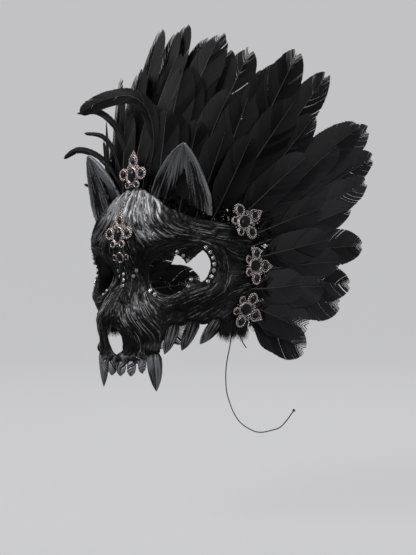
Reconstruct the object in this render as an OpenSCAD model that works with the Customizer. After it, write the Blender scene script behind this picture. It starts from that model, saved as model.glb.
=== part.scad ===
// Venetian masquerade mask: a beast-skull face shell with ears, fangs, jewelled brooches,
// crystal studs, a swept-back feather fan and a thin tie cord. Millimetres, +Z up, the face
// looks along -Y, and +X is the wearer's left. The origin is midway between the wearer's eyes.

/* [Face shell] */
// Distance from the eyes back to the upright axis that the shell wraps round
wrap_y = 75; // [70:1:82]
// Radius of the shell at the bridge of the nose
wrap_r = 97; // [90:1:118]
// How far round the shell reaches on each side, in degrees
side_angle = 86; // [80:1:88]
// Extra radius at the temples
temple_bulge = 7; // [0:1:12]
// How far the rear edges flare out
side_flare = 0; // [0:1:12]
// Height of the crest above the eyes
crest_h = 90; // [80:1:108]
// Height of the rear upper corners above the eyes
side_top_h = 50; // [44:1:60]
// Depth of the jaw's front edge below the eyes
jaw_h = 97; // [90:1:106]
// Depth of the cheek's lower edge below the eyes
cheek_h = 55; // [48:1:64]
// Forward reach of the muzzle
muzzle_reach = 28.5; // [18:0.5:36]
// Forward swell of the brow
brow_swell = 7; // [0:0.5:12]
// Hollow round each eye
socket_depth = 7; // [0:0.5:10]
// Hollow on each side of the nose bridge
bridge_side = 9; // [0:0.5:11]
// Wall of the moulded shell
shell_wall = 3; // [2:0.1:4.5]

/* [Openings] */
// Radius of the round part of an eye opening
eye_r = 22; // [17:0.5:24]
// Radius of the fan-shaped part behind the eye
temple_r = 20.5; // [15:0.5:22]
// Width of the nose opening
nose_w = 24; // [16:1:30]
// Height of the nose opening
nose_h = 30; // [20:1:32]

/* [Ears] */
// Width of an ear at its base
ear_w = 73; // [60:1:88]
// Height of an ear
ear_h = 68; // [55:1:85]
// Depth of the ear's hollow
ear_cup = 10; // [8:1:18]
// Wall of an ear
ear_wall = 3; // [2:0.1:4.5]
// Radius of the drop-shaped hole in an ear
ear_hole_r = 11; // [8:0.5:14]

/* [Teeth] */
// Length of a fang
fang_l = 42; // [32:1:52]
// Width of a fang
fang_w = 19; // [14:0.5:22]
// Length of a front tooth
incisor_l = 17; // [14:0.5:24]
// Width of a front tooth
incisor_w = 13; // [10:0.5:13.5]
// Length of a side tooth
side_tooth_l = 35; // [26:1:42]
// Width of the first side tooth
side_tooth_w = 16; // [10:0.5:17]

/* [Jewels] */
// Radius of a brooch's round lobes
lobe_r = 6.8; // [5:0.1:8]
// Radius of a brooch's two small lobes
bud_r = 4.2; // [3:0.1:5]
// Width of the centre stone
stone_w = 11; // [8:0.5:13]
// Height of the centre stone
stone_h = 14.5; // [10:0.5:17]
// Thickness of a brooch's back plate
brooch_t = 1.6; // [1:0.1:2.5]
// Height of the bezels above the back plate
bezel_h = 2.2; // [1.4:0.1:3]
// Radius of a crystal stud
stud_r = 2.1; // [1.4:0.1:2.6]

/* [Feathers] */
// Length of the longest feathers
feather_l = 204; // [160:1:240]
// Width of the longest feathers
feather_w = 37; // [26:1:44]
// Thickness of a feather at its shaft
feather_t = 0.9; // [0.7:0.1:1.6]
// Feathers in each half of the back row
back_count = 17; // [12:1:22]
// Feathers in each half of the middle row
middle_count = 14; // [10:1:18]
// Feathers in each half of the front row
front_count = 12; // [8:1:16]

/* [Inside and tie] */
// Thickness of the felt lining
lining_t = 1.5; // [1:0.1:2.5]
// Thickness of the forehead pad
pad_t = 11; // [6:0.5:14]
// Radius of the hole through a tie tab
tab_hole_r = 1.6; // [1:0.1:2.5]
// Diameter of the tie cord
cord_d = 1.4; // [1:0.1:2]

/* [Hidden] */
$fn = 40;

eps = 0.01;
glue_gap = 0.1;          // clearance left for glue under a seated piece
lining_gap = 0.3;        // clearance between the shell and its lining
eye_axis = 40;           // direction that both eye openings are cut along, in degrees
eye_centre = [-14, -3];  // centre of the round part, in the plane across eye_axis
temple_centre = [9.5, 5.5];

// ---------- plain maths ----------
function blend(lo, hi, t) = let (k = min(1, max(0, (t - lo) / (hi - lo)))) k * k * (3 - 2 * k);
function mound(t) = exp(-t * t);
function mix(a, b, k) = a + (b - a) * k;
function unit(v) = v / norm(v);
// A repeatable number from -1 to 1 for piece i of series k
function vary(i, k) = let (v = sin(i * 127.1 + k * 311.7) * 43.7585) 2 * (v - floor(v)) - 1;

// A smooth line with extra points between the route's own
function spline_point(p0, p1, p2, p3, s) =
    0.5 * (2 * p1 + (p2 - p0) * s + (2 * p0 - 5 * p1 + 4 * p2 - p3) * s * s
        + (3 * p1 - p0 - 3 * p2 + p3) * s * s * s);
function smooth(r, n) = let (m = len(r) - 1) concat(
    [for (i = [0:m - 1], j = [0:n - 1])
        spline_point(r[max(i - 1, 0)], r[i], r[i + 1], r[min(i + 2, m)], j / n)],
    [r[m]]);

// ---------- the shell's surface: a radius for each direction a and height z ----------
function shell_r(a, z) =
    let (
        w = abs(a),
        round_face = wrap_r + temple_bulge * pow(sin(1.5 * w), 2) + side_flare * blend(50, 84, w),
        crest = -14 * pow(max(0, z - 45) / 43, 2) * (1 + 0.5 * blend(12, 45, w)),
        tuck = -10 * blend(-20, -75, z),
        reach = (muzzle_reach - 6.5 * blend(-54, -92, z)) * blend(-8, -54, z),
        spread = 13 + 15 * blend(-10, -65, z),
        muzzle = reach * exp(-pow(w / spread, 2.5)),
        brow = brow_swell * mound((z - 32) / 22) * exp(-pow(w / 60, 4)),
        socket = -socket_depth * mound(norm([(w - 28) / 15, z / 20])),
        nose_side = -bridge_side * mound((w - 12) / 6) * mound((z + 10) / 17),
        cheek_line = -38 + (w - 25) * 0.55,
        cheek = 4 * mound((z - cheek_line) / 10) * blend(20, 35, w) * (1 - blend(72, 84, w))
    )
    round_face + crest + tuck + muzzle + brow + socket + nose_side + cheek;
function on_shell(a, z, lift = 0) =
    let (r = shell_r(a, z) + lift) [r * sin(a), wrap_y - r * cos(a), z];
// Edges of the shell
function top_edge(a) = side_top_h + (crest_h - side_top_h) * pow(cos(a), 5.2);
function low_edge(a) = -cheek_h - (jaw_h - cheek_h) * exp(-pow(abs(a) / 29, 6));
// Directions on the surface: across towards +a, up, and outwards
function across(a, z) = unit(on_shell(a + 0.5, z) - on_shell(a - 0.5, z));
function outwards(a, z) = unit(cross(across(a, z), on_shell(a, z + 0.5) - on_shell(a, z - 0.5)));
function upwards(a, z) = cross(outwards(a, z), across(a, z));
// The direction a of a point s across the eye plane, at height z
function eye_a(s, z, n = 4, a = eye_axis) =
    n == 0 ? a : eye_a(s, z, n - 1, eye_axis + asin(s / shell_r(a, z)));

// Puts its children on the shell: x across, y up the surface, z outwards
module seat(a, z, lift = 0) {
    p = on_shell(a, z);
    e = across(a, z);
    n = outwards(a, z);
    u = upwards(a, z);
    q = p + n * lift;
    multmatrix([
        [e.x, u.x, n.x, q.x],
        [e.y, u.y, n.y, q.y],
        [e.z, u.z, n.z, q.z],
        [0, 0, 0, 1]
    ]) children();
}
module both_sides() {
    children();
    mirror([1, 0, 0]) children();
}
// The +X version of a piece, or its mirror image
module on_side(side) {
    if (side > 0) children();
    else mirror([1, 0, 0]) children();
}

// ---------- solids from points ----------
// A closed sheet between two grids of nr rows and nc columns, both row by row from the bottom
module sheet(front, back, nc, nr) {
    n = nc * nr;
    function quad(p, q, r, s) = [[p, q, r], [p, r, s]];
    skins = [for (j = [0:nr - 2], i = [0:nc - 2])
        let (p = j * nc + i, q = p + 1, s = p + nc, r = s + 1)
        each concat(quad(p, s, r, q), quad(n + p, n + q, n + r, n + s))];
    rims = [for (i = [0:nc - 2])
        let (lo = i, hi = (nr - 1) * nc + i)
        each concat(quad(lo, lo + 1, n + lo + 1, n + lo), quad(hi + 1, hi, n + hi, n + hi + 1))];
    ends = [for (j = [0:nr - 2])
        let (l = j * nc, r = j * nc + nc - 1)
        each concat(quad(l + nc, l, n + l, n + l + nc), quad(r, r + nc, n + r + nc, n + r))];
    polyhedron(concat(front, back), concat(skins, rims, ends));
}
// Rings of the same number of points, joined in order and closed at both ends
module loft(rings) {
    k = len(rings[0]);
    m = len(rings);
    faces = [for (i = [0:m - 2], j = [0:k - 1])
        let (a = i * k + j, b = i * k + (j + 1) % k)
        each [[a, b, b + k], [a, b + k, a + k]]];
    caps = [for (j = [1:k - 2]) each [[0, j + 1, j], [(m - 1) * k, (m - 1) * k + j, (m - 1) * k + j + 1]]];
    polyhedron([for (r = rings) each r], concat(faces, caps));
}
// Part of the shell's skin, moved in or out
module skin(a0, a1, low, high, outer, inner, nc, nr) {
    function point(i, j, lift) =
        let (a = mix(a0, a1, i / (nc - 1)), z = mix(low(a), high(a), j / (nr - 1)))
        on_shell(a, z, lift);
    sheet(
        [for (j = [0:nr - 1], i = [0:nc - 1]) point(i, j, outer)],
        [for (j = [0:nr - 1], i = [0:nc - 1]) point(i, j, inner)],
        nc, nr
    );
}
// A drop outline: a circle at the origin drawn out to a point at distance tip along +y
function drop(r, tip, n = 20) =
    let (t = acos(r / tip))
    concat([[0, tip]], [for (i = [0:n]) let (b = 90 + t + i * (360 - 2 * t) / n) r * [cos(b), sin(b)]]);
function oval(w, h, n = 24) = [for (i = [0:n - 1]) [w / 2 * cos(360 * i / n), h / 2 * sin(360 * i / n)]];

// ---------- openings ----------
// Eye outline in the plane across eye_axis: a round orbit, a fan behind it and a tear notch
module eye_outline(grow = 0) {
    translate(eye_centre) circle(r = eye_r + grow, $fn = 36);
    intersection() {
        translate(temple_centre) circle(r = temple_r + grow, $fn = 36);
        polygon([[0, 4], [7, 9.5 + grow], [31, 29 + grow], [44, 29], [44, -20],
                [26, -14 - grow], [8.5, -5.5 - grow]]);
    }
    polygon([[-41.5 - grow, -8 + grow], [-28, -8 + grow], [-30, -17], [-34.5, -17],
        [-36 - grow / 2, -23 - grow], [-40.5 - grow, -15]]);
}
module eye_cut(grow = 0) {
    both_sides()
        translate([0, wrap_y, 0])
            rotate([0, 0, eye_axis])
                rotate([90, 0, 0])
                    linear_extrude(height = 2 * wrap_r) eye_outline(grow);
}
function nose_outline(grow) = [for (t = [0:12:348])
    let (w = nose_w / 2 + grow, h = nose_h / 2 + grow) [w * cos(t) * (1 + 0.12 * sin(t)), h * sin(t)]];
module nose_cut(grow = 0) {
    translate([0, wrap_y - wrap_r / 2, -73])
        rotate([90, 0, 0])
            linear_extrude(height = wrap_r) polygon(nose_outline(grow));
}

// ---------- shell, lining and pads ----------
module face_shell() {
    color([0.13, 0.13, 0.14])
        difference() {
            skin(-side_angle, side_angle, function (a) low_edge(a), function (a) top_edge(a),
                0, -shell_wall, 49, 27);
            eye_cut();
            nose_cut();
            tooth_sockets();
        }
}
lining_out = -shell_wall - lining_gap;
lining_in = lining_out - lining_t;
lining_low = 27;
module lining() {
    color([0.04, 0.04, 0.045])
        skin(-side_angle + 12, side_angle - 12, function (a) lining_low, function (a) top_edge(a) - 13,
            lining_out, lining_in, 37, 5);
}
module pad(a0, a1, low, high, outer, thick) {
    color([0.06, 0.06, 0.065])
        skin(a0, a1, function (a) low, function (a) high, outer, outer - thick, 9, 4);
}
pad_gap = 0.6;      // clearance round a soft pad

// ---------- ears ----------
ear_base = [56, 5, 68];       // middle of an ear's base, left side
ear_turn = [18, 18, 20];        // lean forward, slope down outwards, turn outwards
ear_tip_x = -8 / 74 * ear_w;    // the tip leans in from the middle
function ear_in(v) = ear_tip_x - (ear_w / 2 + ear_tip_x) * pow(1 - v * v, 0.9);
function ear_out(v) = ear_tip_x + (ear_w / 2 - ear_tip_x) * pow(1 - pow(v, 1.6), 0.85);
function ear_point(u, v, back) =
    let (x = mix(ear_in(v), ear_out(v), (u + 1) / 2), hollow = ear_cup * (1 - u * u) * pow(1 - v, 0.6))
    [x, hollow + back, ear_h * v];
module ear_place() {
    translate(ear_base)
        rotate([0, 0, ear_turn.z])
            rotate([0, ear_turn.y, 0])
                rotate([ear_turn.x, 0, 0])
                    children();
}
ear_hole_y = 5;
ear_hole_tip = 36 / 68 * ear_h;
module ear_hole(grow = 0) {
    translate([-5, 30, ear_hole_y])
        rotate([90, 0, 0])
            linear_extrude(height = 60) polygon(drop(ear_hole_r + grow, ear_hole_tip + grow));
}
module ear(side) {
    nc = 13;
    nr = 10;
    // the last row stops just short of the tip, where the two edges would meet
    function grid(back) = [for (j = [0:nr - 1], i = [0:nc - 1])
        ear_point(2 * i / (nc - 1) - 1, 0.985 * j / (nr - 1), back)];
    color([0.16, 0.16, 0.17])
        on_side(side) ear_place()
            difference() {
                sheet(grid(0), grid(ear_wall), nc, nr);
                ear_hole();
            }
}
module ear_liner(side) {
    nc = 9;
    nr = 7;
    function grid(back) = [for (j = [0:nr - 1], i = [0:nc - 1])
        ear_point(mix(-0.62, 0.5, i / (nc - 1)), mix(0, 0.66, j / (nr - 1)), back)];
    near = ear_wall + 2 * glue_gap;
    color([0.02, 0.02, 0.02])
        on_side(side) ear_place() sheet(grid(near), grid(near + lining_t), nc, nr);
}

// ---------- teeth ----------
// A tooth that hangs from its root at the origin, curving back towards +y as it goes down
module tooth(long, w, d, bend, sharp, grow) {
    wide = w + 2 * grow;
    deep = d + 2 * grow;
    rings = 8;
    sides = 10;
    loft([for (i = [0:rings])
        let (
            s = sin(90 * i / rings),
            full = max(0.08, pow(1 - pow(s, sharp), 0.75)) * (0.82 + 0.36 * s * (1 - s))
                * (0.6 + 0.4 * blend(-0.05, 0.16, s))
        )
        [for (k = [0:sides - 1])
            [wide / 2 * full * cos(360 * k / sides), bend * s * s + deep / 2 * full * sin(360 * k / sides),
                grow - long * s]]]);
}
// A tooth on the shell's lower edge at direction a; lean turns its tip forwards
module set_tooth(a, rise, lean, long, wide, deep, bend, sharp, grow) {
    color([0.3, 0.3, 0.31])
        seat(a, low_edge(a) + rise, -shell_wall / 2)
            rotate([0, 0, -lean])
                rotate([-90, 0, 0]) tooth(long, wide, deep, bend, sharp, grow);
}
incisor_a = [3.4, 10.4, 16.6];
incisor_rise = [4, 4, 6];
fang_a = 23.2;
module incisors(grow = 0) {
    for (i = [0:2]) both_sides()
        set_tooth(incisor_a[i], incisor_rise[i], 0, incisor_l, incisor_w - 1.5 * i, 8, -2, 5, grow);
}
module fang(side, grow = 0) {
    on_side(side) set_tooth(fang_a, 4, -4, fang_l, fang_w, 12, -3, 2.6, grow);
}
side_tooth_a = [36.5, 49, 65];
side_tooth_rise = [2, 5, 5];
side_tooth_lean = [20, 24, 40];
module side_tooth(side, i, grow = 0) {
    on_side(side)
        set_tooth(side_tooth_a[i], side_tooth_rise[i], side_tooth_lean[i],
            side_tooth_l + 2 * (i % 2), side_tooth_w + i, 8, -2, 3.2, grow);
}
// Room in the jaw for every root, with the glue's clearance
module tooth_sockets() {
    incisors(glue_gap);
    for (side = [-1, 1]) {
        fang(side, glue_gap);
        for (i = [0:2]) side_tooth(side, i, glue_gap);
    }
}

// ---------- brooches: a black oval stone, a pointed petal, two round lobes and two buds ----------
lobe_at = [13.4, 2];
bud_at = [6.8, -9.6];
petal_at = [0, 15.5];
petal_tip = 11.5;
rim = 1.3;                // width of a bezel's wall
stud_inset = 0.15;        // clearance between a stone and its bezel
module bezel(r) {
    difference() {
        cylinder(r = r, h = brooch_t + bezel_h);
        translate([0, 0, brooch_t]) cylinder(r = r - rim, h = bezel_h + eps);
    }
}
module brooch() {
    color([0.78, 0.74, 0.68])
        difference() {
            union() {
                linear_extrude(height = brooch_t + bezel_h)
                    polygon(oval(stone_w + 2 * rim, stone_h + 2 * rim));
                for (s = [-1, 1]) {
                    translate([s * lobe_at.x, lobe_at.y, 0]) cylinder(r = lobe_r, h = brooch_t + bezel_h);
                    translate([s * bud_at.x, bud_at.y, 0]) cylinder(r = bud_r, h = brooch_t + bezel_h);
                    translate([s * 7.2, 9.2, 0]) cylinder(r = 2.7, h = brooch_t + bezel_h);
                }
                translate(petal_at) linear_extrude(height = brooch_t + bezel_h)
                    polygon(drop(lobe_r + 0.6, petal_tip));
                cylinder(r = 10, h = brooch_t);
            }
            translate([0, 0, brooch_t]) {
                linear_extrude(height = bezel_h + eps) polygon(oval(stone_w, stone_h));
                for (s = [-1, 1]) {
                    translate([s * lobe_at.x, lobe_at.y, 0]) cylinder(r = lobe_r - rim, h = bezel_h + eps);
                    translate([s * bud_at.x, bud_at.y, 0]) cylinder(r = bud_r - rim, h = bezel_h + eps);
                }
                translate(petal_at) cylinder(r = lobe_r - rim, h = bezel_h + eps);
            }
        }
}
// A round cut stone: a straight girdle, a sloping crown and a flat table
module stone(r, h) {
    rotate_extrude() polygon([[0, 0], [r, 0], [r, h * 0.45], [r * 0.62, h], [0, h]]);
}
module stones() {
    color([0.03, 0.03, 0.035])
        translate([0, 0, brooch_t + eps]) {
            linear_extrude(height = bezel_h + 2.6, scale = 0.55)
                polygon(oval(stone_w - 2 * stud_inset, stone_h - 2 * stud_inset));
            for (s = [-1, 1]) {
                translate([s * lobe_at.x, lobe_at.y, 0]) stone(lobe_r - rim - stud_inset, bezel_h + 1.6);
                translate([s * bud_at.x, bud_at.y, 0]) stone(bud_r - rim - stud_inset, bezel_h + 1.2);
            }
            translate(petal_at) stone(lobe_r - rim - stud_inset, bezel_h + 1.8);
        }
}
// The small jewel between the brows: an oval stone with a bud on each side
brow_stone = [7.6, 9];
brow_bud_x = 9;
brow_bud_r = 3.4;
module brow_jewel() {
    color([0.78, 0.74, 0.68])
        difference() {
            union() {
                linear_extrude(height = brooch_t + bezel_h)
                    polygon(oval(brow_stone.x + 2 * rim, brow_stone.y + 2 * rim));
                for (s = [-1, 1])
                    translate([s * brow_bud_x, 0, 0]) cylinder(r = brow_bud_r, h = brooch_t + bezel_h);
                translate([-brow_bud_x, -2, 0]) cube([2 * brow_bud_x, 4, brooch_t]);
            }
            translate([0, 0, brooch_t]) {
                linear_extrude(height = bezel_h + eps) polygon(oval(brow_stone.x, brow_stone.y));
                for (s = [-1, 1])
                    translate([s * brow_bud_x, 0, 0]) cylinder(r = brow_bud_r - rim, h = bezel_h + eps);
            }
        }
}
module brow_stones() {
    color([0.03, 0.03, 0.035])
        translate([0, 0, brooch_t + eps]) {
            linear_extrude(height = bezel_h + 2, scale = 0.55)
                polygon(oval(brow_stone.x - 2 * stud_inset, brow_stone.y - 2 * stud_inset));
            for (s = [-1, 1])
                translate([s * brow_bud_x, 0, 0]) stone(brow_bud_r - rim - stud_inset, bezel_h + 1);
        }
}
brooch_lift = 1.2;         // glue bed under a brooch's flat back on the curved shell
side_brooch_a = [side_angle - 11, side_angle, side_angle - 6.5];
side_brooch_z = [50, 6, -39];
side_brooch_lift = [8, 3, 3];      // the side brooches sit over the feather roots
side_brooch_tilt = 6;
side_brooch_turn = [-62, -90, -114];   // turns the petal from up to back
module at_side_brooch(side, i) {
    on_side(side)
        seat(side_brooch_a[i], side_brooch_z[i], side_brooch_lift[i])
            rotate([0, -side_brooch_tilt, 0])
                rotate([0, 0, side_brooch_turn[i]])
                    children();
}
module at_forehead() {
    seat(0, 38, brooch_lift) children();
}
module at_brow() {
    seat(0, 15.5, brooch_lift) children();
}
module at_crest() {
    translate([0, on_shell(0, crest_h).y - 2.5, crest_h + 13]) rotate([90 - 4, 0, 0]) children();
}

// ---------- crystal studs ----------
module stud() {
    rotate_extrude($fn = 24) polygon([[0, 0], [stud_r, 0], [stud_r, 0.8], [stud_r * 0.7, 1.9], [0, 2.2]]);
}
stud_lift = 0.35;      // glue under a stud
module stud_on(a, z) {
    color([0.85, 0.85, 0.88]) seat(a, z, stud_lift) stud();
}
orbit_stud_r = eye_r + 2.8;
temple_stud_r = temple_r + 3.3;
module eye_studs(side) {
    on_side(side) {
        for (t = [66, 50, 34, -14, -32, -120, -135])
            let (p = eye_centre + orbit_stud_r * [cos(t), sin(t)]) stud_on(eye_a(p.x, p.y), p.y);
        for (t = [52:-16:-44])
            let (p = temple_centre + temple_stud_r * [cos(t), sin(t)]) stud_on(eye_a(p.x, p.y), p.y);
    }
}
module bridge_studs() {
    for (z = [-3, -9, -15.5]) stud_on(0, z);
    both_sides() {
        stud_on(8.5, 1);
        stud_on(6.2, -5);
    }
}
module crest_studs() {
    for (z = [64, 70.5, 77, 84]) stud_on(-3.5, z);
}

// ---------- feathers ----------
// The root line of the left half: t = 0 at the lower cheek, up the rear edge, over the crest to t = 1
side_part = 0.32;
function root_a(t) = t < side_part ? side_angle - 1
    : (side_angle - 1) * (1 - (t - side_part) / (1 - side_part));
function root_z(t) = t < side_part
    ? mix(-cheek_h + 4, top_edge(side_angle) - 8, t / side_part)
    : top_edge(root_a(t)) - 8;
// The roots pass behind the ears, so they lie deepest there
function root_lift(t) = -shell_wall - 3.5 - 4 * mound((t - 0.37) / 0.1) - 21 * mound((root_a(t) - 40) / 23);
function fan_angle(t) = t < side_part
    ? -20 + 50 * pow(t / side_part, 0.8)
    : 30 + 60 * sin(90 * (t - side_part) / (1 - side_part));
function length_share(t) = (0.52 + 0.48 * sin(90 * min(1, t / 0.45))) 
    * (1 + 0.16 * mound((t - 0.28) / 0.17));
// How far the feathers lean outwards from the shell's surface
function splay_angle(t) = 13 - 4 * blend(0.8, 1, t);
// What sets the three rows apart: count, share of the full length, share of the width, layer and splay
rows = [
    [back_count, 1, 1, -2, 0],
    [middle_count, 0.76, 0.95, 0, 4.5],
    [front_count, 0.5, 0.85, 2, 9]
];
feather_rings = 7;
// Half the width of a feather at share s of its length
function vane(s) = (s < 0.1 ? 0.05 : 0.05 + 0.95 * blend(0.08, 0.46, s))
    * (s > 0.72 ? sqrt(1 - pow((s - 0.72) / 0.285, 2)) : 1);
// A feather from root along dir, its face towards nrm: curl bends its tip along nrm, sweep within its face
module feather(root, dir, nrm, long, wide, curl, sweep) {
    side = cross(dir, nrm);
    function spine(s) = root + long * (dir * (s - 0.25 * s * s * (abs(curl) + abs(sweep)) * 0.5)
        + (nrm * curl + side * sweep) * s * s * 0.5);
    loft([for (i = [0:feather_rings])
        let (
            s = i / feather_rings,
            c = spine(s),
            fwd = unit(spine(s + 0.02) - spine(s - 0.02)),
            across_f = unit(cross(fwd, nrm)),
            up_f = cross(across_f, fwd),
            h = wide / 2 * vane(s),
            t = feather_t / 2
        )
        [c - across_f * max(h, t), c - up_f * t, c + across_f * max(h, t), c + up_f * t]]);
}
function turned(e, u, deg) = e * cos(deg) + u * sin(deg);
module row_feather(side, row, i) {
    r = rows[row];
    k = side + 3 * row + 5;
    t = (i + 0.45 + 0.25 * vary(i, k)) / r[0];
    a = root_a(t);
    z = root_z(t);
    fan = fan_angle(t) + 6 * vary(i, k + 10);
    n = outwards(a, z);
    flat_dir = turned(across(a, z), upwards(a, z), fan);
    splay = r[4] + splay_angle(t) + (side < 0 ? 2 : 0) + 0.5 * vary(i, k + 20);
    dir = turned(flat_dir, n, splay);
    nrm = turned(n, -flat_dir, splay);
    long = feather_l * r[1] * length_share(t) * (1 + 0.07 * vary(i, k + 30));
    color([0.05, 0.05, 0.055])
        on_side(side)
            feather(on_shell(a, z, root_lift(t) + r[3] + (side < 0 ? 1 : 0)), dir, nrm, long,
                feather_w * r[2] * (1 + 0.12 * vary(i, k + 40)),
                (-0.16 + 0.02 * vary(i, k + 50)) * r[1], 0.16 * vary(i, k + 60));
}
module feather_row(side, row) {
    for (i = [0:rows[row][0] - 1]) row_feather(side, row, i);
}
// Loose feathers that curl out over the right ear: points along the shaft, then the width
curls = [
    [[[8, -2, 86], [17, 2, 122], [19, 2, 149], [11, 0, 176], [-9, -5, 191], [-38, -11, 191],
        [-63, -17, 184], [-74, -19, 177]], 17],
    [[[-14, -1, 84], [-20, 4, 112], [-27, 2, 142], [-41, -2, 166], [-61, -8, 180], [-87, -14, 180]], 7]
];
wisps = [
    [[[-19, 0, 82], [-32, 3, 110], [-42, 0, 136], [-55, -5, 152], [-79, -10, 157]], 5],
    [[[-24, 2, 80], [-42, 0, 110], [-62, -4, 130], [-87, -11, 139], [-107, -16, 131]], 7],
    [[[-66, 24, 62], [-80, 26, 86], [-92, 20, 98], [-104, 12, 103]], 4]
];
module loose(list) {
    color([0.05, 0.05, 0.055])
        for (item = list) {
            pts = smooth(item[0], 4);
            m = len(pts) - 1;
            loft([for (i = [0:m])
                let (
                    fwd = unit(pts[min(i + 1, m)] - pts[max(i - 1, 0)]),
                    e = unit(cross(fwd, [0.67, -0.74, 0])),
                    n = cross(e, fwd),
                    h = max(feather_t, item[1] * vane(i / m)) / 2
                )
                [pts[i] - e * h, pts[i] - n * feather_t / 2, pts[i] + e * h, pts[i] + n * feather_t / 2]]);
        }
}
// The curved strip that the quills are glued to, inside the shell's edge
function band_point(t, along, lift) =
    let (a = root_a(t), z = root_z(t), d = turned(across(a, z), upwards(a, z), fan_angle(t)))
    on_shell(a, z, root_lift(t) - band_depth) + d * along + outwards(a, z) * lift;
band_steps = 24;
band_depth = 4.5;   // how far the band's inner face lies below the middle row's quills
band_t = 1.7;
band_back = 7;      // reach of the band behind the roots
module feather_band() {
    color([0.03, 0.03, 0.03])
        both_sides()
            loft([for (i = [0:band_steps])
                let (t = i / band_steps)
                [band_point(t, -9, 0), band_point(t, band_back, 0), band_point(t, band_back, band_t),
                    band_point(t, -9, band_t)]]);
}
module fur(side) {
    color([0.03, 0.03, 0.03])
        on_side(side)
            skin(71, side_angle - 1, function (a) -cheek_h - 15, function (a) -cheek_h - 0.5, 2, -4, 7, 3);
}

// ---------- tie ----------
tab_a = side_angle - 3;
tab_z = -17;
tab_t = 1.6;
tab_lift = -shell_wall - 3.5 - band_depth - 1 - tab_t;
tab_reach = 7.5;    // from the tab's middle to its hole
tab_hole = on_shell(tab_a, tab_z) + outwards(tab_a, tab_z) * (tab_lift - cord_d / 2 - glue_gap)
    + across(tab_a, tab_z) * tab_reach;
// A leather tab stitched to the feather band, with a hole for the cord
module tie_tab(side) {
    color([0.1, 0.08, 0.07])
        on_side(side) seat(tab_a, tab_z, tab_lift)
            difference() {
                union() {
                    translate([-8, -6, 0]) cube([16, 12, tab_t]);
                    translate([tab_reach, 0, 0]) cylinder(r = 6, h = tab_t);
                }
                translate([tab_reach, 0, -1]) cylinder(r = tab_hole_r, h = tab_t + 2);
            }
}
// Route of the left cord: out of the tab, round the back of the head to the knot
knot_at = [0, 158.2, -60.5];
half_route = [tab_hole, [86, 84, -19], [83, 98, -24], [76, 116, -32], [65, 132, -40], [48, 145, -48],
    [28, 154, -55], [4, 157.2, -60]];
// The tail that hangs from the knot and curls up at its end
tail_route = [[-1, 157, -63], [-5, 155.5, -85], [-9, 153, -112], [-8, 152, -136], [-4, 152, -150],
    [4, 152, -165], [15, 152, -176], [32, 152, -183], [46, 152, -184], [62, 152, -180], [73, 152, -176],
    [83, 152, -167], [93, 152, -155]];
short_tail_route = [[1, 159.4, -63], [5, 161, -72], [9, 162, -81], [14, 163, -88]];
cord_sides = 8;
module cord(route) {
    color([0.25, 0.28, 0.3])
        loft([for (i = [0:len(route) - 1])
            let (
                fwd = unit(route[min(i + 1, len(route) - 1)] - route[max(i - 1, 0)]),
                e = unit(cross(fwd, abs(fwd.z) > 0.8 ? [0, 1, 0] : [0, 0, 1])),
                u = cross(fwd, e)
            )
            [for (k = [0:cord_sides - 1]) route[i] + cord_d / 2 * turned(e, u, -360 * k / cord_sides)]]);
}
module tie_cord_left() {
    cord(smooth(concat(half_route, tail_route), 3));
}
module tie_cord_right() {
    cord(smooth(concat([for (i = [0:len(half_route) - 1])
        let (p = half_route[i]) [-p.x, p.y + (i == len(half_route) - 1 ? 2 : 0), p.z]], short_tail_route), 2));
}
module tie_knot() {
    color([0.2, 0.22, 0.24])
        difference() {
            translate(knot_at) rotate([0, 90, 0]) cylinder(r = 2.6, h = 6, center = true, $fn = 24);
            tie_cord_left();
            tie_cord_right();
        }
}
module tie_end_knot() {
    color([0.2, 0.22, 0.24])
        difference() {
            translate(tail_route[len(tail_route) - 1]) sphere(r = 1.5, $fn = 20);
            tie_cord_left();
        }
}

// ---------- assembly ----------
face_shell();
lining();
pad(-26, 26, 45, 62, lining_in - pad_gap, pad_t);  // forehead_pad
pad(42, 60, -43, -26, -shell_wall - pad_gap, pad_t);  // cheek_pad_left
pad(-60, -42, -43, -26, -shell_wall - pad_gap, pad_t);  // cheek_pad_right
ear(1);  // ear_left
ear(-1);  // ear_right
ear_liner(1);  // ear_liner_left
ear_liner(-1);  // ear_liner_right
incisors();
fang(1);  // fang_left
fang(-1);  // fang_right
side_tooth(1, 0);  // side_tooth_left_1
side_tooth(1, 1);  // side_tooth_left_2
side_tooth(1, 2);  // side_tooth_left_3
side_tooth(-1, 0);  // side_tooth_right_1
side_tooth(-1, 1);  // side_tooth_right_2
side_tooth(-1, 2);  // side_tooth_right_3
at_crest() brooch();  // brooch_crest
at_forehead() brooch();  // brooch_forehead
at_brow() brow_jewel();  // brooch_brow
at_side_brooch(1, 0) brooch();  // brooch_left_upper
at_side_brooch(1, 1) brooch();  // brooch_left_middle
at_side_brooch(1, 2) brooch();  // brooch_left_lower
at_side_brooch(-1, 0) brooch();  // brooch_right_upper
at_side_brooch(-1, 1) brooch();  // brooch_right_middle
at_side_brooch(-1, 2) brooch();  // brooch_right_lower
at_crest() stones();  // stones_crest
at_forehead() stones();  // stones_forehead
at_brow() brow_stones();  // stones_brow
at_side_brooch(1, 0) stones();  // stones_left_upper
at_side_brooch(1, 1) stones();  // stones_left_middle
at_side_brooch(1, 2) stones();  // stones_left_lower
at_side_brooch(-1, 0) stones();  // stones_right_upper
at_side_brooch(-1, 1) stones();  // stones_right_middle
at_side_brooch(-1, 2) stones();  // stones_right_lower
eye_studs(1);  // eye_studs_left
eye_studs(-1);  // eye_studs_right
bridge_studs();
crest_studs();
feather_band();
feather_row(1, 0);  // feathers_back_left
feather_row(-1, 0);  // feathers_back_right
feather_row(1, 1);  // feathers_middle_left
feather_row(-1, 1);  // feathers_middle_right
feather_row(1, 2);  // feathers_front_left
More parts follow.
